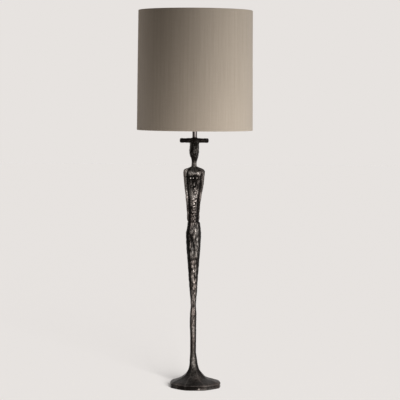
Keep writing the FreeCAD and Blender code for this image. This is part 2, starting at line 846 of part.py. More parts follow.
def make_holder_screws():
    """Two terminal screws stand down from the ceramic, either side of the switch bar."""
    top = value("insert_level")
    head = value("wire_screw_head")
    screws = []
    for side in (-1, 1):
        y = side * value("wire_screw_spacing") / 2
        screws.append(cylinder(head, top - value("wire_screw_height"), top, 0, y))
    shaped("holder_terminal_screws", Part.makeCompound(screws))


# ---------------------------------------------------------------- bulb

def make_bulb():
    turned("bulb_contact", "bulb_bottom", [
        ("0", "0"), ("bulb_contact_radius - bulb_contact_bevel", "0"),
        ("bulb_contact_radius", "bulb_contact_height"), ("0", "bulb_contact_height")])
    turned("bulb_insulator", "bulb_bottom + bulb_contact_height", [
        ("0", "0"), ("bulb_contact_radius + bulb_insulator_lip", "0"),
        ("bulb_cap_radius - bulb_cap_bevel", "bulb_insulator_height"), ("0", "bulb_insulator_height")])
    inside = "bulb_cap_radius - bulb_cap_wall"
    turned("bulb_cap", "bulb_cap_level", [
        ("0", "0"), ("bulb_cap_radius - bulb_cap_bevel", "0"), ("bulb_cap_radius", "bulb_cap_bevel"),
        ("bulb_cap_radius", "bulb_cap_height"), (inside, "bulb_cap_height"),
        (inside, "bulb_cap_floor"), ("0", "bulb_cap_floor")])
    shaped("bulb_glass", make_bulb_envelope(), "glass_level")
    lower = "bulb_stem_height + bulb_disc_thickness"
    upper = lower + " + filament_length + 2 * filament_gap"
    top = upper + " + bulb_disc_thickness"
    turned("bulb_stem", "glass_level", [
        ("0", "0"), ("bulb_stem_foot", "0"), ("bulb_stem_foot", "bulb_stem_edge"),
        ("bulb_stem_radius", "bulb_stem_flare"),
        ("bulb_stem_radius", "bulb_stem_height"), ("bulb_disc_radius", "bulb_stem_height"),
        ("bulb_disc_radius", lower), ("bulb_rod_radius", lower), ("bulb_rod_radius", upper),
        ("bulb_disc_radius", upper), ("bulb_disc_radius", top), ("0", top)])
    base = value("glass_level + " + lower + " + filament_gap")
    ring = value("filament_circle")
    rods = []
    for quarter in range(4):
        angle = math.pi * (quarter + 0.5) / 2
        rods.append(cylinder(value("filament_radius"), base, base + value("filament_length"),
                             ring * math.cos(angle), ring * math.sin(angle)))
    shaped("bulb_filaments", Part.makeCompound(rods))


def make_bulb_envelope():
    """A pear-shaped glass: a ball on a neck, joined by one hollow curve, with a thin wall."""
    ball = value("bulb_radius")
    neck = value("bulb_neck_radius")
    middle = value("bulb_glass_height") - ball
    wall = value("bulb_glass_wall")
    side_angle = 0.5
    waist = 0.2
    waist_level = 0.45

    def outline(inset):
        radius = ball - inset
        throat = neck - inset
        top = Vector(0, 0, middle + radius)
        side = Vector(radius * math.cos(side_angle), 0, middle - radius * math.sin(side_angle))
        high = side_angle / 2
        shoulder = Vector(radius * math.cos(high), 0, middle + radius * math.sin(high))
        hollow = Vector(throat + waist * (side.x - throat), 0, waist_level * side.z)
        foot = Vector(throat, 0, 0)
        curve = [Part.Arc(top, shoulder, side).toShape(), Part.Arc(side, hollow, foot).toShape()]
        return top, foot, curve

    outer_top, outer_foot, outer = outline(0)
    inner_top, inner_foot, inner = outline(wall)
    edges = outer + [Part.makeLine(outer_foot, inner_foot)] + inner + [Part.makeLine(inner_top, outer_top)]
    face = Part.Face(Part.Wire(Part.sortEdges(edges)[0]))
    return face.revolve(Vector(0, 0, 0), Vector(0, 0, 1), 360)


# ---------------------------------------------------------------- shade

def shade_skin(label, inset, thickness):
    """A cone-shaped skin between the two hems, inset from the cloth's face."""
    top = "shade_height - 2 * cloth_thickness"
    turned(label, "shade_bottom + cloth_thickness", [
        (f"shade_bottom_radius - {inset} - {thickness}", "0"), (f"shade_bottom_radius - {inset}", "0"),
        (f"shade_top_radius - {inset}", top), (f"shade_top_radius - {inset} - {thickness}", top)])


def hem(label, level, radius, up):
    """The cloth's edge, turned in over the wire and down the inside."""
    cover = f"{up} * cloth_thickness"
    deep = f"{up} * hem_depth"
    inner = f"{radius} - hem_width"
    return turned(label, level, [
        (radius, "0"), (radius, cover), (f"{inner} + cloth_thickness", cover),
        (f"{inner} + cloth_thickness", deep), (inner, deep), (inner, "0")])


def shade_wire(label, level, radius):
    wire = doc.addObject("Part::Torus", label)
    wire.setExpression("Radius1", bound(f"{radius} - wire_inset"))
    wire.setExpression("Radius2", bound("shade_wire_radius"))
    wire.setExpression("Placement.Base.z", bound(level))
    nodes.append(wire)


def arm_line(angle):
    """A fitter arm runs from the edge of the fitter to the inside of the bottom wire."""
    turn = math.radians(angle)
    away = Vector(math.cos(turn), math.sin(turn), 0)
    inner = away * value("fitter_outer_radius + 3 * weld_gap")
    inner.z = value("fitter_level + fitter_thickness / 2")
    outer = away * value("shade_bottom_radius - wire_inset - shade_wire_radius - weld_gap")
    outer.z = value("shade_bottom + wire_lift")
    return inner, outer


arm_angles = (90, 210, 330)


def arm_rods(radius):
    rods = []
    for angle in arm_angles:
        inner, outer = arm_line(angle)
        run = outer - inner
        rods.append(Part.makeCylinder(radius, run.Length, inner, run))
    return Part.makeCompound(rods)


def make_shade():
    shade_skin("shade_cloth", "0", "cloth_thickness")
    shade_skin("shade_backing", "cloth_thickness", "backing_thickness")
    shade_wire("shade_top_wire", "shade_top - wire_lift", "shade_top_radius")
    shade_wire("shade_bottom_wire", "shade_bottom + wire_lift", "shade_bottom_radius")
    hem("shade_top_hem", "shade_top", "shade_top_radius", -1)

    whole = hem("bottom_hem_whole", "shade_bottom", "shade_bottom_radius", 1)
    nodes.remove(whole)
    notches = doc.addObject("Part::Feature", "hem_notches")
    notches.Shape = arm_rods(value("arm_radius + shade_wire_gap"))
    notched = doc.addObject("Part::Cut", "shade_bottom_hem")
    notched.Base = whole
    notched.Tool = notches
    nodes.append(notched)

    shaped("fitter_arms", arm_rods(value("arm_radius")))
    tube("fitter_ring", "fitter_level", "fitter_outer_radius", "holder_skirt_radius + fitter_gap",
         "fitter_thickness")
    tube("shade_ring", "ring_nut_level", "ring_nut_radius", "holder_skirt_radius + ring_nut_gap",
         "ring_nut_height")


# ---------------------------------------------------------------- wiring

bend_share = 0.45  # how much of a straight run one bend may take
fan_share = 0.9  # how far out a lead has spread where it leaves the core tube

# terminal, and place round the core tube's bore in degrees
lead_places = {"live_wire": (-1, 210), "neutral_wire": (1, 330), "earth_wire": (0, 90)}


def lead(points, radius, bend):
    """A round lead along straight runs joined by tangent arcs."""
    edges = []
    here = points[0]
    for before, corner, after in zip(points, points[1:], points[2:]):
        back = (before - corner).normalize()
        ahead = (after - corner).normalize()
        half_angle = back.getAngle(ahead) / 2
        setback = min(bend / math.tan(half_angle), bend_share * (after - corner).Length,
                      bend_share * (before - corner).Length)
        start = corner + back * setback
        end = corner + ahead * setback
        inward = (back + ahead).normalize()
        rise = setback / math.cos(half_angle) - setback * math.tan(half_angle)
        edges.append(Part.makeLine(here, start))
        edges.append(Part.Arc(start, corner + inward * rise, end).toShape())
        here = end
    edges.append(Part.makeLine(here, points[-1]))
    path = Part.Wire(edges)
    direction = points[1] - points[0]
    circle = Part.Wire([Part.makeCircle(radius, points[0], direction)])
    shape = path.makePipeShell([circle], True, True)
    length = path.Length
    print(f"lead {length:.1f} mm, volume ratio {shape.Volume / (math.pi * radius ** 2 * length):.4f}")
    return shape


def make_wiring():
    """Three leads rise from the terminal block through the core tube into the lampholder."""
    radius = value("lead_radius")
    spread = value("lead_spread")
    bend = value("lead_bend")
    entry_z = value("plate_top + block_hole_level")
    block_y = value("block_front + block_screw_setback - block_screw_radius - lead_entry_gap")
    in_z = value("core_bottom - lead_overrun")
    out_z = value("core_top + lead_overrun")
    screw_y = value("wire_screw_spacing") / 2
    screw_z = value("insert_level - wire_screw_height - lead_end_gap")
    wall = value("holder_radius - holder_wall - lead_radius - lead_wall_gap")
    earth = math.radians(value("earth_angle"))
    earth_z = screw_z - value("earth_drop")
    ends = {
        "live_wire": Vector(0, -screw_y, screw_z),
        "neutral_wire": Vector(value("neutral_offset"), screw_y, screw_z),
        "earth_wire": Vector(wall * math.cos(earth), wall * math.sin(earth), earth_z),
    }
    for label, end in ends.items():
        way, angle = lead_places[label]
        turn = math.radians(angle)
        x = spread * math.cos(turn)
        y = spread * math.sin(turn)
        way_x = way * value("block_way")
        fan = Vector(end.x * fan_share, end.y * fan_share, out_z + value("lead_fan_rise"))
        points = [
            Vector(way_x, block_y, entry_z), Vector(way_x, value("lead_approach"), entry_z),
            Vector(x, y, in_z), Vector(x, y, out_z), fan, end]
        shaped(label, lead(points, radius, bend))


# ---------------------------------------------------------------- build, check and write

make_foot_casting()
make_underside()
make_ballast()
make_inlet_bush()
make_terminal_block()
make_core()
make_figure()
make_crossbar()
make_riser()
make_holder()
make_switch_bar()
make_holder_screws()
make_bulb()
make_shade()
make_wiring()
doc.recompute()

for item in doc.Objects:
    if "Invalid" in item.State or "Error" in item.State:
        raise ValueError(f"{item.Label} failed: {item.State}")
for node in nodes:
    if node.Shape.isNull() or not node.Shape.isValid():
        raise ValueError(f"{node.Label} has no valid shape")

os.makedirs("parts", exist_ok=True)
for node in nodes:
    node.Shape.exportStep(f"parts/{node.Label}.step")
    box = node.Shape.BoundBox
    print(f"{node.Label:24} solids {len(node.Shape.Solids)}  z {box.ZMin:7.1f} {box.ZMax:7.1f}"
          f"  x {box.XMin:7.1f} {box.XMax:7.1f}  volume {node.Shape.Volume:10.1f}")
print(len(nodes), "nodes")
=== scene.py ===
import itertools
import math

import bmesh
import bpy
import numpy as np
from mathutils import Matrix, Vector, kdtree


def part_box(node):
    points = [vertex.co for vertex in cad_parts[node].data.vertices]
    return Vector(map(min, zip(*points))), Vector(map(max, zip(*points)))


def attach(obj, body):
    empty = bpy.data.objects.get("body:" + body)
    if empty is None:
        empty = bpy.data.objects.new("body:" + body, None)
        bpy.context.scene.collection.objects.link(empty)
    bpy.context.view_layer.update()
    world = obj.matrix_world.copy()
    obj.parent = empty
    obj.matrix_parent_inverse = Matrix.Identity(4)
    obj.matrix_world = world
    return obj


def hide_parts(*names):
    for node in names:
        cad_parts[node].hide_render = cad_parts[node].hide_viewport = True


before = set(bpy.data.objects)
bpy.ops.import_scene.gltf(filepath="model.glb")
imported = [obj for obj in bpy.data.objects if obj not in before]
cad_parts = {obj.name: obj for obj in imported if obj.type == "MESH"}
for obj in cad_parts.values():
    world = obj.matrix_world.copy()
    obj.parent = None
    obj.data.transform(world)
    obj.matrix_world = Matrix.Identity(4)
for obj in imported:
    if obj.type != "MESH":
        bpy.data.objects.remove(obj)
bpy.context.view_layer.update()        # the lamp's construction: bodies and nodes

# Figural table lamp: sculpted bronze castings, a linen drum shade and the lampholder inside it.
# The castings and the turned parts have their sizes in millimetres, all else is in metres.

mm = 0.001
noiseReach = (0.3, 0.7)        # nearly all of a noise texture lies between these
print("frame loaded:", len(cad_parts), "nodes")


def boxLow(node):
    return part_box(node)[0]


def feed(tree, node, inputs):
    # links what comes from another node, and sets plain numbers and colours
    for name, entry in dict(inputs).items():
        if isinstance(entry, bpy.types.NodeSocket):
            tree.links.new(entry, node.inputs[name])
        else:
            node.inputs[name].default_value = entry


def addNode(tree, kind, inputs=(), **settings):
    node = tree.nodes.new(kind)
    for name, setting in settings.items():
        setattr(node, name, setting)
    feed(tree, node, inputs)
    return node


def firstOut(tree, kind, inputs=(), **settings):
    return addNode(tree, kind, inputs, **settings).outputs[0]


def mathOn(tree, operation, *entries):
    return firstOut(tree, "ShaderNodeMath", enumerate(entries), operation=operation)


def colourRamp(tree, factor, stops):
    ramp = addNode(tree, "ShaderNodeValToRGB", {"Fac": factor})
    elements = ramp.color_ramp.elements
    while len(elements) < len(stops):
        elements.new(0.5)
    for element, (place, colour) in zip(elements, stops):
        element.position = place
        element.color = (*colour, 1)
    return ramp.outputs["Color"]


def noiseOn(tree, vector, scale, detail=3.0, roughness=0.5):
    return firstOut(tree, "ShaderNodeTexNoise", {
        "Vector": vector, "Scale": scale, "Detail": detail, "Roughness": roughness})


def stretched(tree, vector, scale):
    return firstOut(tree, "ShaderNodeMapping", {"Vector": vector, "Scale": scale})


def bumpOn(tree, height, strength, distance):
    return firstOut(tree, "ShaderNodeBump", {
        "Height": height, "Strength": strength, "Distance": distance})


def mapped(tree, entry, low, high, fromLow=0.0, fromHigh=1.0):
    return firstOut(tree, "ShaderNodeMapRange", {
        "Value": entry, "From Min": fromLow, "From Max": fromHigh, "To Min": low, "To Max": high})


def newMaterial(name):
    # a material with its tree, its surface shader and the object's own coordinates
    made = bpy.data.materials.new(name)
    made.use_nodes = True
    tree = made.node_tree
    shader = tree.nodes["Principled BSDF"]
    place = addNode(tree, "ShaderNodeTexCoord").outputs["Object"]
    return made, tree, shader, place


bronzeLook = {
    # how high the skin stands, with its painted highlights and painted shade, and its colour there
    "patina": [(0.25, (0.003, 0.0024, 0.0021)), (0.48, (0.009, 0.0074, 0.0064)),
               (0.72, (0.085, 0.078, 0.072)), (1.0, (0.42, 0.39, 0.365))],
    "warmTint": (1.05, 0.965, 0.945), "edgeTint": (0.30, 0.28, 0.27), "specular": 0.10,
    "speckleScale": 420.0, "speckleShare": 0.30, "patchScale": 18.0, "patchEdges": (0.42, 0.62),
    "metalEdges": (0.42, 0.85), "roughness": (0.25, 0.40),
    "grainScale": 950.0, "grainStrength": 0.4, "grainDepth": 0.00025,
}


def bronzeMaterial():
    # dark brown-black patina, browner in patches, rubbed through to the metal where it stands up, lighter
    # where highlights are painted and darker where shade is painted
    look = bronzeLook
    made, tree, shader, place = newMaterial("patinatedBronze")
    reliefAndLight = addNode(tree, "ShaderNodeAttribute", attribute_name="reliefAndLight").outputs["Fac"]
    speckle = noiseOn(tree, place, look["speckleScale"], 4.0)
    height = mathOn(tree, "MULTIPLY_ADD", speckle, look["speckleShare"], reliefAndLight)
    patina = colourRamp(tree, height, look["patina"])
    patches = mapped(tree, noiseOn(tree, place, look["patchScale"], 2.0), 0.0, 1.0, *look["patchEdges"])
    colour = addNode(tree, "ShaderNodeMix", {0: patches, 6: patina, 7: (*look["warmTint"], 1)},
                     data_type="RGBA", blend_type="MULTIPLY").outputs[2]
    grain = noiseOn(tree, place, look["grainScale"], 5.0, 0.65)
    feed(tree, shader, {
        "Base Color": colour, "Metallic": mapped(tree, height, 0.0, 1.0, *look["metalEdges"]),
        "Roughness": mapped(tree, speckle, *look["roughness"], *noiseReach),
        "Specular IOR Level": look["specular"], "Specular Tint": (*look["edgeTint"], 1),
        "Normal": bumpOn(tree, grain, look["grainStrength"], look["grainDepth"])})
    return made


linenLook = {
    "light": (0.475, 0.406, 0.331), "dark": (0.368, 0.311, 0.25), "toneEdges": (0.50, 1.10),
    "threadPitch": 0.00062, "weaveShare": 0.25, "roughness": 0.82, "specular": 0.2,
    "sheen": 0.15, "sheenRoughness": 0.5, "strength": 0.35, "depth": 0.00014,
    # slubs of the weft, of the warp, and wider stripes of the warp: squeeze of the cloth's map, scale,
    # roughness of the noise and share of the tone
    "slubs": [((0.03, 1.0, 1.0), 620.0, 0.6, 0.25), ((1.0, 0.02, 1.0), 520.0, 0.6, 0.55),
              ((1.0, 0.004, 1.0), 160.0, 0.5, 0.5)],
}


def linenMaterial():
    # plain weave on the cloth's own map, in metres along the cloth: warp and weft with slubs
    look = linenLook
    made, tree, shader, _ = newMaterial("taupeLinen")
    cloth = firstOut(tree, "ShaderNodeUVMap", uv_map="cloth")
    turns = 2 * math.pi / 20 / look["threadPitch"]        # a wave texture repeats each 2 pi / 20
    warp, weft = (
        addNode(tree, "ShaderNodeTexWave", {"Vector": cloth, "Scale": turns},
                bands_direction=direction, wave_profile="SIN").outputs["Fac"] for direction in "XY")
    over = addNode(tree, "ShaderNodeTexChecker", {
        "Vector": cloth, "Scale": 1 / look["threadPitch"]}).outputs["Fac"]
    weave = firstOut(tree, "ShaderNodeMix", {0: over, 2: warp, 3: weft})
    tone = mathOn(tree, "MULTIPLY", weave, look["weaveShare"])
    for squeeze, scale, roughness, share in look["slubs"]:
        slub = noiseOn(tree, stretched(tree, cloth, squeeze), scale, 2.0, roughness)
        tone = mathOn(tree, "MULTIPLY_ADD", slub, share, tone)
    colour = colourRamp(tree, mapped(tree, tone, 0.0, 1.0, *look["toneEdges"]), [
        (0.0, look["dark"]), (1.0, look["light"])])
    feed(tree, shader, {
        "Base Color": colour, "Roughness": look["roughness"], "Specular IOR Level": look["specular"],
        "Sheen Weight": look["sheen"], "Sheen Roughness": look["sheenRoughness"],
        "Normal": bumpOn(tree, tone, look["strength"], look["depth"])})
    return made


metalLook = {
    "squeeze": (90.0, 90.0, 6.0), "streakScale": 8.0, "tarnishScale": 60.0, "tarnishEdges": (0.12, 0.42),
    "darker": 0.72, "smoother": 0.04, "rougher": 0.08, "strength": 0.06, "depth": 0.0001,
}


def metalMaterial(name, colour, roughness):
    # polished or satin metal with fine drawn streaks and faint tarnish
    look = metalLook
    made, tree, shader, place = newMaterial(name)
    streaks = noiseOn(tree, stretched(tree, place, look["squeeze"]), look["streakScale"], 4.0, 0.6)
    tone = mathOn(tree, "MULTIPLY", streaks, noiseOn(tree, place, look["tarnishScale"], 3.0))
    darker = tuple(look["darker"] * part for part in colour)
    smooth, rough = roughness - look["smoother"], roughness + look["rougher"]
    feed(tree, shader, {
        "Base Color": colourRamp(tree, tone, list(zip(look["tarnishEdges"], (darker, colour)))),
        "Metallic": 1.0, "Roughness": mapped(tree, streaks, smooth, rough, *noiseReach),
        "Normal": bumpOn(tree, streaks, look["strength"], look["depth"])})
    return made


paintLook = {
    "mottleScale": 35.0, "mottleEdges": (0.35, 0.65), "darker": 0.95, "smoother": 0.05, "rougher": 0.08,
    "strength": 0.15,
}


def paintMaterial(name, colour, roughness, grain, depth=0.00008, coat=0.0):
    # powder coat, moulded plastic, glaze or rubber: even colour, fine texture, faint mottling
    look = paintLook
    made, tree, shader, place = newMaterial(name)
    mottle = noiseOn(tree, place, look["mottleScale"], 3.0)
    fine = noiseOn(tree, place, grain, 3.0, 0.6)
    darker = tuple(look["darker"] * part for part in colour)
    smooth, rough = roughness - look["smoother"], roughness + look["rougher"]
    feed(tree, shader, {
        "Base Color": colourRamp(tree, mottle, list(zip(look["mottleEdges"], (darker, colour)))),
        "Roughness": mapped(tree, fine, smooth, rough, *noiseReach),
        "Normal": bumpOn(tree, fine, look["strength"], depth), "Coat Weight": coat})
    return made


feltLook = {
    "fibreScale": 700.0, "fibres": [(0.3, (0.012, 0.012, 0.012)), (0.7, (0.05, 0.05, 0.052))],
    "roughness": 0.95, "sheen": 0.4, "specular": 0.1, "strength": 0.8, "depth": 0.0004,
}


def feltMaterial():
    look = feltLook
    made, tree, shader, place = newMaterial("blackFelt")
    fibres = noiseOn(tree, place, look["fibreScale"], 6.0, 0.75)
    feed(tree, shader, {
        "Base Color": colourRamp(tree, fibres, look["fibres"]), "Roughness": look["roughness"],
        "Sheen Weight": look["sheen"], "Specular IOR Level": look["specular"],
        "Normal": bumpOn(tree, fibres, look["strength"], look["depth"])})
    return made


glassLook = {"tint": (0.97, 0.98, 0.97), "ior": 1.45, "waveScale": 30.0, "strength": 0.05, "depth": 0.0004}


def glassMaterial():
    # clear blown glass with faint waves
    look = glassLook
    made, tree, shader, place = newMaterial("bulbGlass")
    waves = noiseOn(tree, place, look["waveScale"], 1.0)
    feed(tree, shader, {
        "Base Color": (*look["tint"], 1), "Transmission Weight": 1.0, "IOR": look["ior"],
        "Roughness": 0.0, "Normal": bumpOn(tree, waves, look["strength"], look["depth"])})
    return made


earthLook = {
    "stripeScale": 160.0, "waver": 0.4, "roughness": 0.45,
    "stripes": [(0.45, (0.05, 0.28, 0.05)), (0.55, (0.75, 0.62, 0.04))],
}


def earthLeadMaterial():
    # green insulation with yellow stripes
    look = earthLook
    made, tree, shader, place = newMaterial("greenYellowLead")
    stripe = addNode(tree, "ShaderNodeTexWave", {
        "Vector": place, "Scale": look["stripeScale"], "Distortion": look["waver"]}, bands_direction="X")
    feed(tree, shader, {
        "Base Color": colourRamp(tree, stripe.outputs["Fac"], look["stripes"]),
        "Roughness": look["roughness"]})
    return made


# colour and roughness
metals = {
    "darkNickel": ((0.035, 0.031, 0.029), 0.12), "satinBrass": ((0.66, 0.47, 0.21), 0.28),
    "zincPlate": ((0.55, 0.56, 0.55), 0.34), "bulbNickel": ((0.62, 0.60, 0.57), 0.22),
}

# colour, roughness, scale of the grain, and where they are given its depth and a clear coat
paints = {
    "blackIron": ((0.05, 0.05, 0.05), 0.6, 260.0, 0.0004),
    "blackNylon": ((0.02, 0.02, 0.02), 0.45, 900.0),
    "whiteNylon": ((0.74, 0.73, 0.69), 0.4, 900.0),
    "glazedCeramic": ((0.80, 0.79, 0.74), 0.16, 200.0, 0.0001, 0.6),
    "blackVitrite": ((0.012, 0.012, 0.014), 0.12, 150.0, 0.00006, 0.3),
    "whiteStyrene": ((0.82, 0.81, 0.77), 0.55, 500.0, 0.00005),
    "whitePowderCoat": ((0.78, 0.78, 0.76), 0.35, 800.0, 0.00012),
    "yellowPhosphor": ((0.85, 0.60, 0.16), 0.5, 600.0, 0.0001),
    "brownLead": ((0.15, 0.06, 0.03), 0.45, 700.0),
    "blueLead": ((0.03, 0.12, 0.42), 0.45, 700.0),
}

finishes = [bronzeMaterial(), linenMaterial(), feltMaterial(), glassMaterial(), earthLeadMaterial()]
finishes += [metalMaterial(name, *look) for name, look in metals.items()]
finishes += [paintMaterial(name, *look) for name, look in paints.items()]
materials = {finish.name: finish for finish in finishes}
print("materials ready:", len(materials))


def gridNormals(points):
    along = np.roll(points, -1, axis=1) - np.roll(points, 1, axis=1)
    up = np.gradient(points, axis=0)
    normals = np.cross(along, up)
    lengths = np.linalg.norm(normals, axis=2, keepdims=True)
    return normals / np.maximum(lengths, 1e-12)


def linked(name, data):
    piece = bpy.data.objects.new(name, data)
    bpy.context.scene.collection.objects.link(piece)
    return piece


def gridObject(name, points, reliefAndLight, capRelief=0.5):
    # closed surface from rows of points that run round an upright axis, capped at both ends
    rows, columns, _ = points.shape
    vertices = points.reshape(-1, 3).tolist()
    bottom, top = len(vertices), len(vertices) + 1
    vertices += [points[0].mean(axis=0).tolist(), points[-1].mean(axis=0).tolist()]
    faces = []
    for row in range(rows - 1):
        for column in range(columns):
            here, ahead = row * columns + column, row * columns + (column + 1) % columns
            faces.append((here, ahead, ahead + columns, here + columns))
    last = (rows - 1) * columns
    for column in range(columns):
        ahead = (column + 1) % columns
        faces.append((ahead, column, bottom))
        faces.append((last + column, last + ahead, top))
    mesh = bpy.data.meshes.new(name)
    mesh.from_pydata(vertices, [], faces)
    layer = mesh.attributes.new("reliefAndLight", "FLOAT", "POINT")
    layer.data.foreach_set("value", np.append(reliefAndLight.ravel(), (capRelief, capRelief)))
    return finishMesh(name, mesh)


def finishMesh(name, mesh, sharpAngle=38.0):
    mesh.validate()
    mesh.shade_smooth()
    mesh.set_sharp_from_angle(angle=math.radians(sharpAngle))
    return linked(name, mesh)


def settle(piece, body, material, slot, *nodes):
    # finish, body and the nodes that the piece stands for
    if material is not None:
        piece.data.materials.clear()
        piece.data.materials.append(material)
    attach(piece, body)
    if nodes:
        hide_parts(*nodes)
    return piece


def lathe(name, outline, steps=96, place=(0, 0, 0), lying=False):
    # closed outline of (radius, height) in metres, turned about an upright axis through place, or
    # about one that lies along X
    angles = np.linspace(0, 2 * math.pi, steps, endpoint=False)
    mesh = bpy.data.meshes.new(name)
    shape = bmesh.new()
    rings = []
    for radius, height in outline:
        if radius < 1e-7:
            rings.append([shape.verts.new((0, 0, height))] * steps)
        else:
            rings.append([shape.verts.new((radius * math.cos(a), radius * math.sin(a), height))
                          for a in angles])
    for ring, following in zip(rings, rings[1:] + rings[:1]):
        for i in range(steps):
            k = (i + 1) % steps
            corners = list(dict.fromkeys((ring[i], ring[k], following[k], following[i])))
            if len(corners) > 2 and not shape.faces.get(corners):
                shape.faces.new(corners)
    bmesh.ops.recalc_face_normals(shape, faces=shape.faces)
    turn = Matrix.Rotation(math.pi / 2, 4, "Y") if lying else Matrix()
    shape.transform(Matrix.Translation(Vector(place)) @ turn)
    shape.to_mesh(mesh)
    shape.free()
    return finishMesh(name, mesh)


def rounded(outline, radius, steps=3):
    # the outline with each corner off the axis cut to a small arc
    result = []
    count = len(outline)
    for i, (x, y) in enumerate(outline):
        here = np.array((x, y), float)
        before, after = np.array(outline[i - 1], float), np.array(outline[(i + 1) % count], float)
        inward, outward = before - here, after - here
        reach = min(radius, 0.45 * np.linalg.norm(inward), 0.45 * np.linalg.norm(outward))
        if x < 1e-7 or reach < 1e-7:
            result.append((x, y))
            continue
        start = here + inward / np.linalg.norm(inward) * reach
        end = here + outward / np.linalg.norm(outward) * reach
        for t in np.linspace(0, 1, steps + 1):
            point = (1 - t) ** 2 * start + 2 * t * (1 - t) * here + t ** 2 * end
            result.append((float(point[0]), float(point[1])))
    return result


def applied(piece):
    # the piece's modifiers turned into plain mesh
    evaluated = piece.evaluated_get(bpy.context.evaluated_depsgraph_get())
    mesh = bpy.data.meshes.new_from_object(evaluated)
    piece.modifiers.clear()
    piece.data = mesh
    return piece


def dress(node, material):
    # a construction node keeps its shape and gets a finish
    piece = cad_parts[node]
    if not piece.material_slots:
        piece.data.materials.append(material)
    for entry in piece.material_slots:
        entry.material = material


hashPrimes = (73856093, 19349663, 83492791)        # they scatter the cells of the noise


def clayNoise(points, cell, seed):
    # smooth noise from -1 to 1 with lumps about one cell across
    table = np.random.default_rng(seed).uniform(-1, 1, 4096)
    scaled = points / cell
    base = np.floor(scaled).astype(np.int64)
    part = scaled - base
    part = part * part * (3 - 2 * part)
    total = np.zeros(points.shape[:-1])
    for corner in itertools.product((0, 1), repeat=3):
        x, y, z = (base[..., i] + corner[i] for i in range(3))
        hashed = (x * hashPrimes[0] ^ y * hashPrimes[1] ^ z * hashPrimes[2]) & (len(table) - 1)
        weight = np.prod(np.where(np.array(corner) == 1, part, 1 - part), axis=-1)
        total += table[hashed] * weight
    return total


def pellets(points, spacing, seed):
    # small pressed-on domes of clay, from 0 in the creases to 1 on a dome
    low, high = points.reshape(-1, 3).min(axis=0), points.reshape(-1, 3).max(axis=0)
    counts = np.maximum(1, np.ceil((high - low) / spacing)).astype(int)
    draw = np.random.default_rng(seed)
    cells = np.array(list(itertools.product(*[range(-1, count + 1) for count in counts])))
    centres = low + (cells + draw.uniform(0.1, 0.9, cells.shape)) * spacing
    tree = kdtree.KDTree(len(centres))
    for i, centre in enumerate(centres):
        tree.insert(centre, i)
    tree.balance()
    flat = points.reshape(-1, 3)
    distances = np.array([tree.find(point)[2] for point in flat]).reshape(points.shape[:-1])
    return np.clip(1 - (distances / (0.75 * spacing)) ** 2, 0, 1)


def bump(value, middle, width):
    return np.exp(-((value - middle) / width) ** 2)


def smoothCurve(levels, widths, heights):
    # through the sections without swinging past a wide or a narrow one
    levels, widths = np.asarray(levels, float), np.asarray(widths, float)
    spans = np.diff(levels)
    slopes = np.diff(widths) / spans
    product = slopes[:-1] * slopes[1:]
    inner = np.where(product > 0, 2 * product / np.where(product > 0, slopes[:-1] + slopes[1:], 1), 0)
    tangents = np.concatenate((slopes[:1], inner, slopes[-1:]))
    i = np.clip(np.searchsorted(levels, heights, side="right") - 1, 0, len(spans) - 1)
    part = (heights - levels[i]) / spans[i]
    rest = 1 - part
    return (widths[i] * rest ** 2 * (1 + 2 * part) + widths[i + 1] * part ** 2 * (1 + 2 * rest)
            + spans[i] * (tangents[i] * part * rest ** 2 - tangents[i + 1] * part ** 2 * rest))


def sectionCurves(table, heights):
    # each column of a table of sections, read at the given heights
    levels = np.cumsum([section[0] for section in table])
    columns = list(zip(*table))[1:]
    return [smoothCurve(levels, column, heights)[:, None] for column in columns]


def ovalReach(angle, halfWidth, halfDepth, power=2.3):
    across = np.abs(np.cos(angle)) / halfWidth
    along = np.abs(np.sin(angle)) / halfDepth
    return (across ** power + along ** power) ** (-1 / power)


def octagonReach(angle, halfWidth):
    eighth = math.radians(45)
    return halfWidth / np.cos((angle + eighth / 2) % eighth - eighth / 2)


def ringPoints(reach, angle, shift, height):
    x = shift + reach * np.cos(angle)
    return np.stack((x, reach * np.sin(angle), np.broadcast_to(height, x.shape)), axis=-1)


castingLook = {
    "columns": 176, "rowStep": 0.9,
    # size of a lump, how it is drawn out along the height, seed, and how high it stands
    "swell": (14.0, 0.6, 11, 0.45), "pellets": (4.5, 0.8, 12, 1.15), "creases": (4.5, 0.7, 13, 0.35),
    "fine": (1.7, 1.0, 14, 0.16),
    # how much of the surface's rise shows as rubbed metal
    "skinWear": 0.30, "formWear": 0.10,
}


def claySkin(points, rough, along=1.0):
    # hand-worked surface in millimetres: coarse swell, pressed pellets, thumb and knife marks
    points = points * (1, 1, along)

    def marks(kind, noise):
        cell, drawn, seed, height = castingLook[kind]
        return height, noise(points * (1, 1, drawn), cell, seed)

    swellHeight, swell = marks("swell", clayNoise)
    pelletHeight, pressed = marks("pellets", pellets)
    creaseHeight, creases = marks("creases", clayNoise)
    fineHeight, fine = marks("fine", clayNoise)
    worked = pelletHeight * (pressed - 0.5) + creaseHeight * (1 - 2 * np.abs(creases))
    return swellHeight * swell + rough * worked + fineHeight * fine


def sculpt(name, node, points, form, rough, castTone, along=1.0):
    # pushes the surface out along its normals and keeps how far each point stands up, with the painted
    # highlights and painted shade of its tone
    skin = claySkin(points, rough, along)
    shaped = points + gridNormals(points) * (form + skin)[..., None]
    standingAndLight = castTone + castingLook["skinWear"] * skin + castingLook["formWear"] * form
    piece = gridObject(name, shaped * mm, np.clip(standingAndLight, 0, 1))
    return settle(piece, "lamp", materials["patinatedBronze"], "bronze", node)


def castingRows(look, node):
    # the node's lowest level, the rows' heights over it and the section curves at those heights
    total = sum(section[0] for section in look["sections"])
    heights = np.linspace(0, total, int(total / castingLook["rowStep"]) + 1)
    return boxLow(node).z / mm, heights[:, None], sectionCurves(look["sections"], heights)


def facing(angle, gain=1.0):
    # 1 where the surface looks to the front or the back, fading to 0 at the sides
    return {"front": np.clip(-gain * np.sin(angle), 0, 1), "back": np.clip(gain * np.sin(angle), 0, 1)}


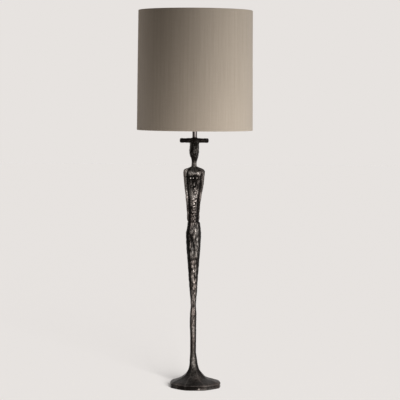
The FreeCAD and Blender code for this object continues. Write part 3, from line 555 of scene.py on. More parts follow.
def formMarks(look, x, rise, sides):
    # lumps and hollows of the form, each on its own side and level
    form = np.zeros_like(x)
    for height, place, width, level, span, side, paired in look["marks"].values():
        across = bump(np.abs(x) if paired else x, place, width)
        form += height * across * bump(rise, level, span) * sides[side]
    return form


def bands(rise, table):
    # soft bands round a casting, from a table of amount, level and span
    return sum(amount * bump(rise, level, span) for amount, level, span in table)


def ringAngles():
    return np.linspace(0, 2 * math.pi, castingLook["columns"], endpoint=False)[None, :]


foot = {
    "rimHeight": 12.0, "undercut": 1.2, "edge": 0.9, "shoulder": 2.8, "recessRadius": 56.4, "recessTop": 2.5,
    # rise, across flats, shift of the middle
    "sections": [
        (0.0, 133.5, 6.0), (4.0, 113.0, 4.8), (8.0, 69.3, 2.2), (8.0, 48.8, 3.2),
        (16.0, 27.7, 2.5), (16.0, 20.2, 1.7), (25.5, 15.6, 0.2)],
    "rowStep": 1.0, "roundness": 0.45, "uneven": 0.012, "rough": 0.35, "swell": 0.5, "swellCell": 38.0,
    # the rim's top edge and the strip down the flare get painted highlights, and the flare's sides painted
    # shade
    "castTone": 0.33, "skinWear": 0.18, "cornerWear": 0.12, "rimHighlight": 0.20, "edgeWear": 0.10,
    "stripHighlight": 0.12, "stripStart": 32.0, "sideShade": 0.14, "sideStart": 24.0, "recessWear": 0.35,
    # a paler, more metallic patch low on the front of the rim: amount, place and width across, height and
    # span
    "patch": (0.60, 9.5, 10.0, 3.0, 3.2),
}


def footRows(low):
    # height, width and shift of each row: up the rim, over its shoulder and up the flare
    look = foot
    edge, undercut, shoulder, rim = (look[key] for key in ("edge", "undercut", "shoulder", "rimHeight"))
    _, across, shift = look["sections"][0]
    profile = [(0.0, 2 * edge), (edge, 0.0), (2.5, undercut), (4.5, 1.5 * undercut), (6.5, 2 * undercut),
               (rim - shoulder, 0.5 * undercut), (rim - 0.45 * shoulder, 0.45 * shoulder),
               (rim - 0.1 * shoulder, 1.3 * shoulder)]
    rows = [(low + level, across - inset, shift) for level, inset in profile]
    heights = np.linspace(0, sum(section[0] for section in look["sections"]), 900)
    widths, shifts = (column[:, 0] for column in sectionCurves(look["sections"], heights))
    # rows of the flare are a steady step apart along its slope
    run = np.concatenate(([0], np.cumsum(np.hypot(np.diff(heights), np.diff(widths / 2)))))
    steps = np.linspace(0, run[-1], int(run[-1] / look["rowStep"]))
    for step in steps[np.interp(steps, run, widths) < across - 2.4 * shoulder]:
        level, width, middle = (np.interp(step, run, column) for column in (heights, widths, shifts))
        rows.append((low + rim + level, width, middle))
    return (np.array(column)[:, None] for column in zip(*rows))


def footCasting():
    look = foot
    low = boxLow("foot_casting").z / mm
    top = low + look["rimHeight"]
    height, wide, middle = footRows(low)
    angle = ringAngles()
    uneven = 1 + look["uneven"] * np.sin(3 * angle + 0.8) * np.clip((wide - 40) / 90, 0, 1)
    # the eight corners are soft at the rim and sharpen up the stem
    soft = look["roundness"] * np.clip((wide - 15) / 60, 0, 1)
    reach = octagonReach(angle, wide / 2) * (1 - soft) + soft * wide / 2
    points = ringPoints(reach * uneven, angle, middle, height)
    skin = claySkin(points, look["rough"]) + look["swell"] * clayNoise(points, look["swellCell"], 21)
    skin = skin * np.clip((height - low) / 4, 0, 1) * np.clip((height[-1] - height) / 14, 0.1, 1)
    points = points + gridNormals(points) * skin[..., None]
    x, front = points[..., 0] - middle, points[..., 1] < 0
    # worn corners and bottom edge, a painted highlight along the rim's top edge, and a painted highlight in a
    # strip down the front of the flare between two sides of painted shade
    corner = np.abs((angle % math.radians(45)) / math.radians(45) - 0.5)
    reliefAndLight = look["castTone"] + look["skinWear"] * skin + look["cornerWear"] * bump(corner, 0.0, 0.06)
    reliefAndLight += look["rimHighlight"] * bump(height, top, 1.2) + look["edgeWear"] * bump(height, low + 0.6, 0.8)
    highlightStrip = bump(x, 0.05 * wide, 0.10 * wide) * front * np.clip((height - top - look["stripStart"]) / 6, 0, 1)
    sides = np.clip((np.abs(x) - 0.24 * wide) / (0.16 * wide), 0, 1)
    sides = sides * np.clip((height - top - look["sideStart"]) / 20, 0, 1)
    reliefAndLight += look["stripHighlight"] * highlightStrip - look["sideShade"] * sides
    amount, place, width, level, span = look["patch"]
    palerPatch = bump(points[..., 0], place, width) * bump(height, low + level, span) * front
    reliefAndLight += amount * palerPatch * np.clip(0.6 + 2.4 * skin, 0, 1)
    recess = [ringPoints(np.full_like(angle, look["recessRadius"]), angle, look["sections"][0][2], level)
              for level in (low + look["recessTop"] - 0.5, low)]
    points = np.concatenate([np.array(ring) for ring in recess] + [points])
    reliefAndLight = np.concatenate((np.full((2, angle.size), look["recessWear"]), reliefAndLight))
    piece = gridObject("footCasting", points * mm, np.clip(reliefAndLight, 0, 1))
    return settle(piece, "lamp", materials["patinatedBronze"], "bronze", "foot_casting")


legs = {
    # rise, width, depth, shift, depth of the cleft, share of the eight-sided form
    "sections": [
        (0.0, 15.6, 15.6, 0.2, 0.0, 1.0), (47.0, 15.5, 15.5, 0.15, 0.0, 0.9),
        (32.0, 16.9, 16.4, -0.55, 0.7, 0.1), (20.0, 17.1, 17.4, -0.55, 1.0, 0.0),
        (28.0, 13.7, 15.0, -0.25, 0.6, 0.0), (40.0, 20.1, 18.0, -0.25, 1.4, 0.0),
        (48.0, 26.2, 21.5, -0.9, 2.2, 0.0), (48.0, 33.3, 24.5, -0.75, 3.0, 0.0),
        (32.0, 37.8, 26.5, -1.0, 3.2, 0.0), (23.5, 39.8, 27.5, -1.0, 1.6, 0.0),
        (15.5, 36.0, 25.5, -0.4, 0.5, 0.0), (16.0, 32.5, 23.0, -0.3, 0.0, 0.0)],
    # height, place and width across, level and span up, side, and whether both sides have it
    "marks": {
        "knees": (1.6, 3.6, 2.4, 136, 10, "front", True),
        "belly": (1.5, 0.4, 3.4, 331, 11, "front", False),
        "crotch": (-1.6, 0, 1.6, 288, 14, "front", False),
        "seat": (1.0, 9.0, 4.5, 318, 16, "back", True),
        "seatCleft": (-1.3, 0, 1.8, 314, 18, "back", False),
    },
    "groinLow": 292.0, "groinTop": 340.0, "groinDepth": 1.7, "planeHeight": 0.5, "joint": 1.3,
    "drawnOut": 0.45, "castTone": 0.41, "sideShade": 0.24,
    # lighter and darker bands: amount, level and span
    "bands": [(0.04, 105, 20), (-0.02, 136, 12), (-0.04, 20, 40), (0.035, 326, 24), (-0.08, 88, 26),
              (0.04, 185, 22)],
}


def legsCasting():
    look = legs
    low, rise, (width, depth, shift, cleft, facet) = castingRows(look, "legs_casting")
    angle = ringAngles()
    reach = ovalReach(angle, width / 2, depth / 2) - 0.45 * cleft * bump(np.abs(np.sin(angle)), 1, 0.06)
    reach = reach + facet * (octagonReach(angle, width / 2) - reach)
    points = ringPoints(reach, angle, shift, low + rise)
    x, sides = points[..., 0] - shift, facing(angle)
    form = formMarks(look, x, rise, sides)
    # creases of the groin run down and in to the crotch
    crease = bump(np.abs(x) - 0.42 * (rise - look["groinLow"]), 0, 1.5)
    groin = np.clip((rise - look["groinLow"]) / 8, 0, 1) * np.clip((look["groinTop"] - rise) / 12, 0, 1)
    form -= look["groinDepth"] * crease * groin * sides["front"]
    # long planes down the thighs and shins catch a narrow strip of light
    planes = bump(np.abs(x), 0.24 * width, 1.6) * np.clip((rise - 60) / 40, 0, 1)
    form += look["planeHeight"] * planes * sides["front"]
    form -= look["joint"] * np.clip(1 - (rise[-1] - rise) / 3.0, 0, 1) ** 2
    rough = (0.25 + 0.55 * np.clip((rise - 70) / 120, 0, 1)) * np.clip(rise / 12, 0.2, 1)
    # a painted highlight down the middle of the front, and painted shade on both sides
    highlightStrip = 0.05 + 0.06 * np.clip((120 - rise) / 40, 0, 1)
    castTone = look["castTone"] + bands(rise, look["bands"])
    castTone = castTone + highlightStrip * bump(x, 0.05 * width, 0.13 * width) * sides["front"]
    castTone = castTone - look["sideShade"] * np.clip((np.abs(x) - 0.24 * width) / (0.16 * width), 0, 1)
    return sculpt("legsCasting", "legs_casting", points, form, rough, castTone, look["drawnOut"])


torso = {
    # rise, width, depth, shift, width of an arm
    "sections": [
        (0.0, 30.0, 22.0, -2.0, 6.0), (16.0, 32.7, 22.5, -2.15, 6.4), (24.0, 36.2, 23.5, -2.2, 7.0),
        (24.0, 39.7, 24.5, -1.85, 7.6), (24.0, 48.6, 25.5, -1.2, 8.6), (31.0, 55.1, 26.0, -0.75, 9.4),
        (13.0, 57.0, 25.5, -0.6, 10.0), (6.0, 51.7, 22.5, -0.95, 10.0), (3.0, 39.5, 19.0, -0.65, 8.0),
        (2.7, 24.0, 16.5, -0.8, 0.0), (2.3, 15.5, 14.5, -1.3, 0.0)],
    "knots": 15, "knotLow": 12.0, "knotHigh": 112.0, "knotSide": 2.2, "knotHeight": 2.0,
    "studs": (-9.5, -1.7, 7.5), "studLevel": 116.0, "studHeight": 2.4, "studRubAndHighlight": 0.65,
    # height, place and width across, level and span up, side, and whether both sides have it
    "marks": {
        "spine": (-1.3, 0, 2.0, 70, 50, "back", False),
        "shoulderBlades": (1.1, 9.5, 4.5, 108, 17, "back", True),
    },
    # height, level and span: the collar's edge and the hollow of the chest under it, and then the
    # elbows, the hands on the hips and the wrists
    "chest": [(1.3, 129, 5.5), (-1.5, 116, 5.0)], "arms": [(0.9, 62, 9), (1.0, 9, 8), (-0.6, 22, 6)],
    "grooveTop": 132.0, "grooveDepth": 2.0, "groovePatinaShade": 0.30, "armHeight": 0.5, "joint": 0.9,
    # amount, level and span of lighter and darker bands, all round, and on the chest alone a painted
    # highlight on the collar's edge and painted shade in the hollow under it
    "castTone": 0.425, "bands": [(-0.10, 30, 14), (-0.06, 4, 13)],
    "collarHighlightShade": [(0.09, 129, 3.6), (-0.12, 120, 4.5)],
    # painted shade in strips down the front, in the ridge's shadow and on the side of the right groove:
    # amount, and place and width as a share of the half width
    "shadeStrips": [(0.08, -0.48, 0.13), (0.04, 0.62, 0.10)], "ridgeDark": 0.05, "armRubAndHighlight": (0.10, 0.02),
}


def torsoReach(angle, width, depth, arm):
    # a chest between two arms that hang close, with a groove inside each arm
    half, arm = width / 2, np.maximum(arm / 2, 0.05)
    reach = ovalReach(angle, half - 1.3 * arm, depth / 2)
    middle, deep = half - arm, 1.45 * arm
    a = (np.cos(angle) / arm) ** 2 + (np.sin(angle) / deep) ** 2
    b = -2 * np.abs(np.cos(angle)) * middle / arm ** 2
    inside = b * b - 4 * a * ((middle / arm) ** 2 - 1)
    far = (-b + np.sqrt(np.maximum(inside, 0))) / (2 * a)
    return np.where((inside > 0) & (arm > 0.1), np.maximum(reach, far), reach)


def knottedRidge(x, rise, front):
    # a knotted ridge winds up the middle of the body
    look = torso
    draw = np.random.default_rng(31)
    ridge = np.zeros_like(x)
    for knot in range(look["knots"]):
        share = knot / (look["knots"] - 1)
        level = look["knotLow"] + share * (look["knotHigh"] - look["knotLow"])
        side = 0.8 + look["knotSide"] * math.sin(2.4 * knot) + draw.uniform(-0.5, 0.5)
        tilt = draw.uniform(-0.5, 0.5)
        lump = bump(x, side, 3.2) * bump(rise + tilt * (x - side), level, 2.6)
        ridge = np.maximum(ridge, look["knotHeight"] * lump * front * (0.7 + 0.25 * share))
    return ridge


def torsoCasting():
    look = torso
    low, rise, (width, depth, shift, arm) = castingRows(look, "torso_casting")
    angle = ringAngles()
    points = ringPoints(torsoReach(angle, width, depth, arm), angle, shift, low + rise)
    x, sides = points[..., 0] - shift, facing(angle, 1.4)
    front = sides["front"]
    # the chest under the collar, and three small studs in its hollow
    chest = np.clip(1 - (np.abs(x) / (0.36 * width)) ** 4, 0, 1) * front
    form = knottedRidge(x, rise, front) + bands(rise, look["chest"]) * chest
    form += formMarks(look, x, rise, sides)
    for stud in look["studs"]:
        form += look["studHeight"] * bump(x, stud, 1.5) * bump(rise, look["studLevel"], 1.6) * front
    # a deep groove inside each arm, and a rounded arm with a smoother skin
    inner, flank = width / 2 - arm, np.clip(2.5 * np.abs(np.sin(angle)), 0, 1)
    grooves = bump(np.abs(x), inner - 0.2, 1.5) * flank * np.clip((look["grooveTop"] - rise) / 8, 0, 1)
    armed = np.clip((np.abs(x) - inner) / 1.5, 0, 1)
    form += look["armHeight"] * bump(np.abs(x), width / 2 - 0.55 * arm, 0.3 * arm) * flank
    form -= look["grooveDepth"] * grooves
    form += np.clip((np.abs(x) - 0.36 * width) / 3, 0, 1) * bands(rise, look["arms"])
    form -= look["joint"] * np.clip(1 - rise / 2.5, 0, 1) ** 2
    rough = 0.50 + 0.80 * bump(x, 1.0, 5.5) * front * np.clip((122 - rise) / 8, 0, 1) - 0.30 * armed
    # on the chest, a painted highlight on the collar's edge and painted shade in the hollow under it
    castTone = look["castTone"] + bands(rise, look["bands"]) + bands(rise, look["collarHighlightShade"]) * chest
    # the grooves darker, with patina in the hollow and painted shade
    castTone = castTone - look["groovePatinaShade"] * grooves - look["ridgeDark"] * bump(x, 1, 5)
    # painted shade in strips down the front
    for amount, place, span in look["shadeStrips"]:
        castTone = castTone - amount * bump(x / (width / 2), place, span) * front
    # the studs rubbed bright, with a painted highlight on each
    for stud in look["studs"]:
        castTone = castTone + look["studRubAndHighlight"] * bump(x, stud, 1.9) * bump(rise, look["studLevel"], 2.0) * front
    # the arms a little lighter as rubbed metal, the left one more with a painted highlight
    castTone = castTone + armed * np.where(x < 0, *look["armRubAndHighlight"])
    return sculpt("torsoCasting", "torso_casting", points, form, rough, castTone)


head = {
    # rise, width, depth, shift
    "sections": [
        (0.0, 14.0, 13.6, -1.2), (8.0, 13.1, 13.2, -1.05), (7.0, 14.4, 15.4, -0.4),
        (6.0, 17.7, 19.4, -0.05), (7.0, 22.2, 23.4, -0.9), (11.0, 26.1, 27.0, -1.25),
        (11.0, 24.9, 26.4, -0.75), (11.0, 24.6, 24.6, -0.25)],
    # height, place and width across, level and span up, side, and whether both sides have it
    "marks": {
        "middlePlane": (0.6, 0, 3.0, 38, 9, "front", False),
        "sidePlanes": (-0.5, 5.5, 2.5, 43, 4, "front", True),
    },
    # the head's low tone is painted shade under the lampshade, and its band lightens the neck with a painted
    # highlight
    "joint": (0.4, 1.5, 1.2), "castTone": 0.26, "bands": [(0.24, 5, 8)],
}


def headCasting():
    # a plain oval head on a bare neck, with worked planes and no features
    look = head
    low, rise, (width, depth, shift) = castingRows(look, "head_casting")
    angle = ringAngles()
    points = ringPoints(ovalReach(angle, width / 2, depth / 2, power=2.1), angle, shift, low + rise)
    form = formMarks(look, points[..., 0] - shift, rise, facing(angle)) + bands(rise, [look["joint"]])
    rough = 0.25 + 0.35 * np.clip((rise - 14) / 12, 0, 1)
    # a low tone as painted shade under the lampshade, and a painted highlight on the neck
    castTone = look["castTone"] + bands(rise, look["bands"])
    return sculpt("headCasting", "head_casting", points, form, rough, castTone)


crosspiece = {
    "shift": -0.7, "axisLevel": 7.4, "voxel": 0.55, "rough": 0.35,
    # radius, and place along the bar from its middle
    "bar": [(0, -38.1), (3.2, -38.1), (5.4, -36.9), (6.5, -34.1), (5.9, -24.1), (6.3, -14), (6.3, 14),
            (5.8, 24.1), (6.2, 34.1), (5.2, 36.9), (3.0, 38.1), (0, 38.1)],
    # radius, and height over the head
    "hub": [(0, 0), (12.4, 0), (12.4, 9.5), (9.8, 12.3), (6.9, 15.5), (0, 15.5)],
    # a low tone as painted shade under the lampshade, and the right half lighter as painted light from the
    # right
    "barEdge": 2.0, "hubEdge": 1.2, "castTone": 0.28, "skinWear": 0.28, "rightHighlight": 0.05,
}


def crossbar():
    # round bar and hub cast in one, blended where they meet, with worked ends
    look = crosspiece
    low = boxLow("crossbar").z / mm
    top = low + look["hub"][-1][1]
    bar, hub = rounded(look["bar"], look["barEdge"]), rounded(look["hub"], look["hubEdge"])
    parts = [
        lathe("crossbarBar", [(r * mm, h * mm) for r, h in bar], steps=64,
              place=(look["shift"] * mm, 0, (low + look["axisLevel"]) * mm), lying=True),
        lathe("crossbarHub", [(r * mm, (low + h) * mm) for r, h in hub], steps=64)]
    shape = bmesh.new()
    for part in parts:
        shape.from_mesh(part.data)
    shape.to_mesh(parts[0].data)
    shape.free()
    bpy.data.objects.remove(parts[1])
    piece = parts[0]
    piece.name = "crossbar"
    remesh = piece.modifiers.new("blend", "REMESH")
    remesh.mode = "VOXEL"
    remesh.voxel_size = look["voxel"] * mm
    soften = piece.modifiers.new("soften", "SMOOTH")
    soften.iterations = 4
    applied(piece)
    mesh = piece.data
    places, normals = np.empty((2, len(mesh.vertices) * 3))
    mesh.vertices.foreach_get("co", places)
    mesh.vertex_normals.foreach_get("vector", normals)
    places, normals = places.reshape(-1, 3) / mm, normals.reshape(-1, 3)
    x, z = places[:, 0], places[:, 2]
    skin = claySkin(places[None], look["rough"])[0]
    skin *= np.clip((z - low) / 2, 0, 1) * np.clip((top - z) / 2, 0, 1)
    mesh.vertices.foreach_set("co", ((places + normals * skin[:, None]) * mm).ravel())
    # a low tone as painted shade under the lampshade, and the right half lighter as painted light from the
    # right
    reliefAndLight = look["castTone"] + look["skinWear"] * skin + look["rightHighlight"] * (x > 8)
    mesh.attributes.new("reliefAndLight", "FLOAT", "POINT").data.foreach_set("value", np.clip(reliefAndLight, 0, 1))
    mesh.shade_smooth()
    mesh.update()
    return settle(piece, "lamp", materials["patinatedBronze"], "bronze", "crossbar")


for make in (footCasting, legsCasting, torsoCasting, headCasting, crossbar):
    made = make()
    print("sculpted", made.name, len(made.data.polygons), "faces")


def newTree(name, sizes):
    # a node tree with a named input for each size, counts as whole numbers
    tree = bpy.data.node_groups.new(name, "GeometryNodeTree")
    tree.interface.new_socket("Geometry", in_out="OUTPUT", socket_type="NodeSocketGeometry")
    for title, default in {**sizes, "Level": 0.0}.items():
        kind = "NodeSocketInt" if isinstance(default, int) else "NodeSocketFloat"
        tree.interface.new_socket(title, in_out="INPUT", socket_type=kind).default_value = default
    return tree, tree.nodes.new("NodeGroupInput").outputs


def closeTree(tree, geometry, level, material):
    # lifts the result to its level, makes it real and gives it its finish
    height = firstOut(tree, "ShaderNodeCombineXYZ", {"Z": level})
    placed = firstOut(tree, "GeometryNodeTransform", {"Geometry": geometry, "Translation": height})
    real = firstOut(tree, "GeometryNodeRealizeInstances", {"Geometry": placed})
    smooth = firstOut(tree, "GeometryNodeSetShadeSmooth", {"Geometry": real})
    finished = firstOut(tree, "GeometryNodeSetMaterial", {"Geometry": smooth, "Material": material})
    tree.links.new(finished, tree.nodes.new("NodeGroupOutput").inputs[0])
    return tree


def wireAlong(tree, path, radius, sides):
    # a round wire swept along a path, closed at any open ends
    section = firstOut(tree, "GeometryNodeCurvePrimitiveCircle", {"Resolution": sides, "Radius": radius})
    return firstOut(tree, "GeometryNodeCurveToMesh", {
        "Curve": path, "Profile Curve": section, "Fill Caps": True})


def growPiece(name, tree, sizes):
    # runs a node tree on an empty mesh and keeps the result as plain mesh
    piece = linked(name, bpy.data.meshes.new(name))
    modifier = piece.modifiers.new("grow", "NODES")
    modifier.node_group = tree
    for item in tree.interface.items_tree:
        if item.in_out == "INPUT" and item.name in sizes:
            modifier[item.identifier] = sizes[item.name]
    return applied(piece)


def wireRingTree(material):
    # a round wire bent into a hoop
    tree, given = newTree("wireRing", {"Hoop Radius": 0.15, "Wire Radius": 0.002})
    hoop = firstOut(tree, "GeometryNodeCurvePrimitiveCircle", {
        "Resolution": 240, "Radius": given["Hoop Radius"]})
    return closeTree(tree, wireAlong(tree, hoop, given["Wire Radius"], 20), given["Level"], material)


def ribRingTree(material):
    # upright ribs round a turned ring, for grip
    tree, given = newTree("ribRing", {
        "Ribs": 60, "Ring Radius": 0.026, "Rib Radius": 0.0007, "Rib Height": 0.006})
    points = firstOut(tree, "GeometryNodeMeshCircle", {
        "Vertices": given["Ribs"], "Radius": given["Ring Radius"]})
    rib = firstOut(tree, "GeometryNodeMeshCylinder", {
        "Vertices": 10, "Side Segments": 1, "Fill Segments": 1, "Radius": given["Rib Radius"],
        "Depth": given["Rib Height"]})
    ribs = firstOut(tree, "GeometryNodeInstanceOnPoints", {"Points": points, "Instance": rib})
    return closeTree(tree, ribs, given["Level"], material)


def threadTree(material):
    # a rolled screw thread: a round bead along a helix
    tree, given = newTree("rolledThread", {
        "Turns": 5.0, "Thread Radius": 0.0125, "Rise": 0.018, "Bead": 0.001})
    helix = firstOut(tree, "GeometryNodeCurveSpiral", {
        "Resolution": 72, "Rotations": given["Turns"], "Start Radius": given["Thread Radius"],
        "End Radius": given["Thread Radius"], "Height": given["Rise"]})
    return closeTree(tree, wireAlong(tree, helix, given["Bead"], 12), given["Level"], material)


shade = {
    "cloth": 0.0008, "lining": 0.0005, "edgeRoll": 0.0011, "hemDepth": 0.012, "hemWidth": 0.006,
    "hemFace": 0.0042, "hemLip": 0.0006, "hemProud": 0.0002, "wireRadius": 0.0019, "columns": 320,
    "rows": 42, "liningRows": 12, "overlap": 0.012, "waver": 0.00018, "seamAngle": 97.0,
}


def shadeSize():
    low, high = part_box("shade_bottom_hem"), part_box("shade_top_hem")
    return {"bottom": low[0].z, "top": high[1].z, "bottomRadius": low[1].x, "topRadius": high[1].x}


def coneRadius(size, height):
    share = (height - size["bottom"]) / (size["top"] - size["bottom"])
    return size["bottomRadius"] + share * (size["topRadius"] - size["bottomRadius"])


def skinObject(name, outline):
    # a closed outline of (radius, height) turned into a skin, mapped in metres along the cloth
    columns, waver = shade["columns"], shade["waver"]
    start = math.radians(shade["seamAngle"])        # the map's ends meet under the seam
    angles = start + np.linspace(0, 2 * math.pi, columns, endpoint=False)
    radii, heights = (np.array(column)[:, None] for column in zip(*outline))
    wave = waver * (np.sin(5 * angles + 0.6) + 0.6 * np.sin(11 * angles + 6 * heights / 0.3))
    rings = radii + wave * np.ones_like(heights)
    points = np.stack((rings * np.cos(angles), rings * np.sin(angles), heights + 0 * rings), axis=-1)
    rows = len(outline)
    faces, corners = [], []
    run = np.concatenate(([0], np.cumsum([math.dist(a, b) for a, b in zip(outline, outline[1:])])))
    run = np.append(run, run[-1] + math.dist(outline[-1], outline[0]))
    arc = 2 * math.pi * float(radii.max()) / columns
    for row in range(rows):
        following = (row + 1) % rows
        for column in range(columns):
            ahead = (column + 1) % columns
            faces.append((row * columns + column, row * columns + ahead,
                          following * columns + ahead, following * columns + column))
            corners += [(column * arc, run[row]), ((column + 1) * arc, run[row]),
                        ((column + 1) * arc, run[row + 1]), (column * arc, run[row + 1])]
    mesh = bpy.data.meshes.new(name)
    mesh.from_pydata(points.reshape(-1, 3).tolist(), [], faces)
    layer = mesh.uv_layers.new(name="cloth")
    layer.data.foreach_set("uv", np.array(corners).ravel())
    return finishMesh(name, mesh)


def wallOutline(inset, thickness, rows):
    # the outline of a sheet in the shade's cone, up its outer face and down its inner one
    size = shadeSize()
    levels = np.linspace(size["bottom"] + shade["cloth"], size["top"] - shade["cloth"], rows)
    outer = [(coneRadius(size, level) - inset, level) for level in levels]
    return outer + [(radius - thickness, level) for radius, level in reversed(outer)]


def shadeCloth():
    size = shadeSize()
    piece = skinObject("shadeCloth", wallOutline(0.0, shade["cloth"], shade["rows"]))
    settle(piece, "shade", materials["taupeLinen"], "linen", "shade_cloth")
    around = 2 * math.pi * size["bottomRadius"] + shade["overlap"]
    return piece, (around, size["top"] - size["bottom"])


def shadeHem(name, node, top):
    # the cloth's edge rolled over the wire and turned down inside
    look, size = shade, shadeSize()
    edge, way = (size["top"], -1) if top else (size["bottom"], 1)
    outer = coneRadius(size, edge)
    inner = outer - look["hemWidth"]
    roll, cloth = look["edgeRoll"], look["cloth"]
    face, behind = edge + way * look["hemFace"], edge + way * 1.5 * cloth
    curl = [(roll * math.sin(turn), edge + way * roll * (1 - math.cos(turn)))
            for turn in np.linspace(0, math.pi / 2, 7)]
    outline = [(inner + roll - across, level) for across, level in reversed(curl)]
    outline += [(outer - roll + across, level) for across, level in curl]
    outline += [
        (outer + look["hemProud"], face), (outer - cloth / 2, face + way * look["hemLip"]),
        (outer - cloth, behind), (inner + cloth, behind),
        (inner + cloth, edge + way * look["hemDepth"]), (inner, edge + way * look["hemDepth"])]
    if top:
        outline.reverse()
    return settle(skinObject(name, outline), "shade", materials["taupeLinen"], "linen", node)


def shadeLining():
    piece = skinObject("shadeLining", wallOutline(shade["cloth"], shade["lining"], shade["liningRows"]))
    return settle(piece, "shade", materials["whiteStyrene"], "lining", "shade_backing")


seamLap = {
    "width": 0.010, "inset": 0.004, "rows": 40, "under": 0.0002,
    "lift": (0.00005, 0.0004, 0.0005, 0.0005, 0.0004, 0.00005),        # how far it stands off, across
}


def shadeSeam():
    # the lap at the back where the cloth's edge is turned under and glued down
    look, size = seamLap, shadeSize()
    levels = np.linspace(size["bottom"] + look["inset"], size["top"] - look["inset"], look["rows"])
    middle, half = math.radians(shade["seamAngle"]), look["width"] / 2 / size["topRadius"]
    raised = look["lift"]
    shape = bmesh.new()
    layer = shape.loops.layers.uv.new("cloth")
    sheets = []
    for lift in (raised, [-look["under"]] * len(raised)):
        sheet = []
        for level in levels:
            row = []
            for k, height in enumerate(lift):
                turn = middle + half * (2 * k / (len(lift) - 1) - 1)
                radius = coneRadius(size, level) + height
                row.append(shape.verts.new((radius * math.cos(turn), radius * math.sin(turn), level)))
            sheet.append(row)
        sheets.append(sheet)
    front, rear = sheets
    rows, columns = len(levels), len(raised)
    for r in range(rows - 1):
        for c in range(columns - 1):
            shape.faces.new((front[r][c], front[r][c + 1], front[r + 1][c + 1], front[r + 1][c]))
            shape.faces.new((rear[r][c], rear[r + 1][c], rear[r + 1][c + 1], rear[r][c + 1]))
        for c in (0, columns - 1):
            shape.faces.new((front[r][c], front[r + 1][c], rear[r + 1][c], rear[r][c]))
    for r in (0, rows - 1):
        for c in range(columns - 1):
            shape.faces.new((front[r][c], rear[r][c], rear[r][c + 1], front[r][c + 1]))
    bmesh.ops.recalc_face_normals(shape, faces=shape.faces)
    for face in shape.faces:
        for loop in face.loops:
            x, y, z = loop.vert.co
            loop[layer].uv = (math.atan2(y, x) * size["bottomRadius"], z - size["bottom"])
    mesh = bpy.data.meshes.new("shadeSeam")
    shape.to_mesh(mesh)
    shape.free()
    return settle(finishMesh("shadeSeam", mesh), "shade", materials["taupeLinen"], "linen")


cloth, flat = shadeCloth()
topHem = shadeHem("shadeTopHem", "shade_top_hem", True)
bottomHem = shadeHem("shadeBottomHem", "shade_bottom_hem", False)
shadeLining()
seam = shadeSeam()

hoops = wireRingTree(materials["whitePowderCoat"])
for name, node in (("shadeTopWire", "shade_top_wire"), ("shadeBottomWire", "shade_bottom_wire")):
    low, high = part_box(node)
    wire = growPiece(name, hoops, {
        "Wire Radius": shade["wireRadius"], "Level": (low.z + high.z) / 2,
        "Hoop Radius": high.x - shade["wireRadius"]})
    settle(wire, "shade", None, "white_wire", node)
print("shade sewn:", [round(side, 3) for side in flat], "m flat")


fitter = {
    "radius": 0.0016, "angles": (90, 210, 330), "steps": 14, "sink": 0.00064, "gap": 0.00032,
}


def fitterArms():
    # three spokes from the fitter's edge down to the bottom wire
    look = fitter
    ring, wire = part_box("fitter_ring"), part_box("shade_bottom_wire")
    inner = (ring[1].x + look["sink"], (ring[0].z + ring[1].z) / 2)
    outer = (wire[1].x - 2 * shade["wireRadius"] - look["gap"], (wire[0].z + wire[1].z) / 2)
    curve = bpy.data.curves.new("fitterArms", "CURVE")
    curve.dimensions = "3D"
    curve.bevel_depth = look["radius"]
    curve.bevel_resolution = 4
    curve.use_fill_caps = True
    for degrees in look["angles"]:
        turn = math.radians(degrees)
        spline = curve.splines.new("POLY")
        spline.points.add(look["steps"])
        for i, point in enumerate(spline.points):
            radius, level = (a + i / look["steps"] * (b - a) for a, b in zip(inner, outer))
            point.co = (radius * math.cos(turn), radius * math.sin(turn), level, 1)
    source = linked("armCurves", curve)
    mesh = bpy.data.meshes.new_from_object(
        source.evaluated_get(bpy.context.evaluated_depsgraph_get()))
    bpy.data.objects.remove(source)
    piece = finishMesh("fitterArms", mesh, 60.0)
    return settle(piece, "shade", materials["whitePowderCoat"], "white_wire", "fitter_arms")


# node, body, finish, slot and rounding of the edges, and then radius and height over the node's
# lowest level, in millimetres, of the outline that is turned
turnedParts = {
    "riserTube": ("riser_tube", "lamp", "darkNickel", "dark_nickel", 0.4, [
        (4.3, 0), (6.35, 0), (6.35, 38.5), (4.3, 38.5)]),
    "holderCap": ("holder_cap", "lamp", "satinBrass", "brass", 0.3, [
        (5.05, 0), (7.4, 0), (7.4, 5), (14.8, 5), (17.2, 6.2), (18.6, 8.4), (19, 11), (19, 17.2),
        (18.5, 17.7), (18.5, 18.5), (19, 19), (19, 21.5), (18, 21.5), (18, 11), (14, 6), (5.05, 6)]),
    "holderBody": ("holder_body", "lamp", "satinBrass", "brass", 0.25, [
        (18, 0), (19, 0), (19, 8.5), (24, 8.5), (24, 10), (19.1, 10), (19.1, 36.4), (18.8, 37),
        (18, 37)]),
    "shadeRing": ("shade_ring", "shade_ring", "satinBrass", "brass", 0.3, [
        (19.83, 0), (25.9, 0), (26.1, 0.8), (25.6, 1.2), (25.6, 6.3), (26.1, 6.7), (25.9, 7.5),
        (24.4, 7.5), (22.6, 5.4), (19.83, 5.4)]),
    "fitterRing": ("fitter_ring", "shade", "whitePowderCoat", "white_wire", 0.35, [
        (20.1, 0), (28.5, 0), (28.5, 1.4), (20.1, 1.4)]),
    "bulbCap": ("bulb_cap", "bulb", "bulbNickel", "bulb_nickel", 0.3, [
        (0, 0), (11.6, 0), (12.3, 1), (12.3, 17.5), (13.0, 18.6), (13.1, 20.8), (12.3, 21),
        (12.0, 20), (11.3, 1.5), (0, 1.5)]),
}

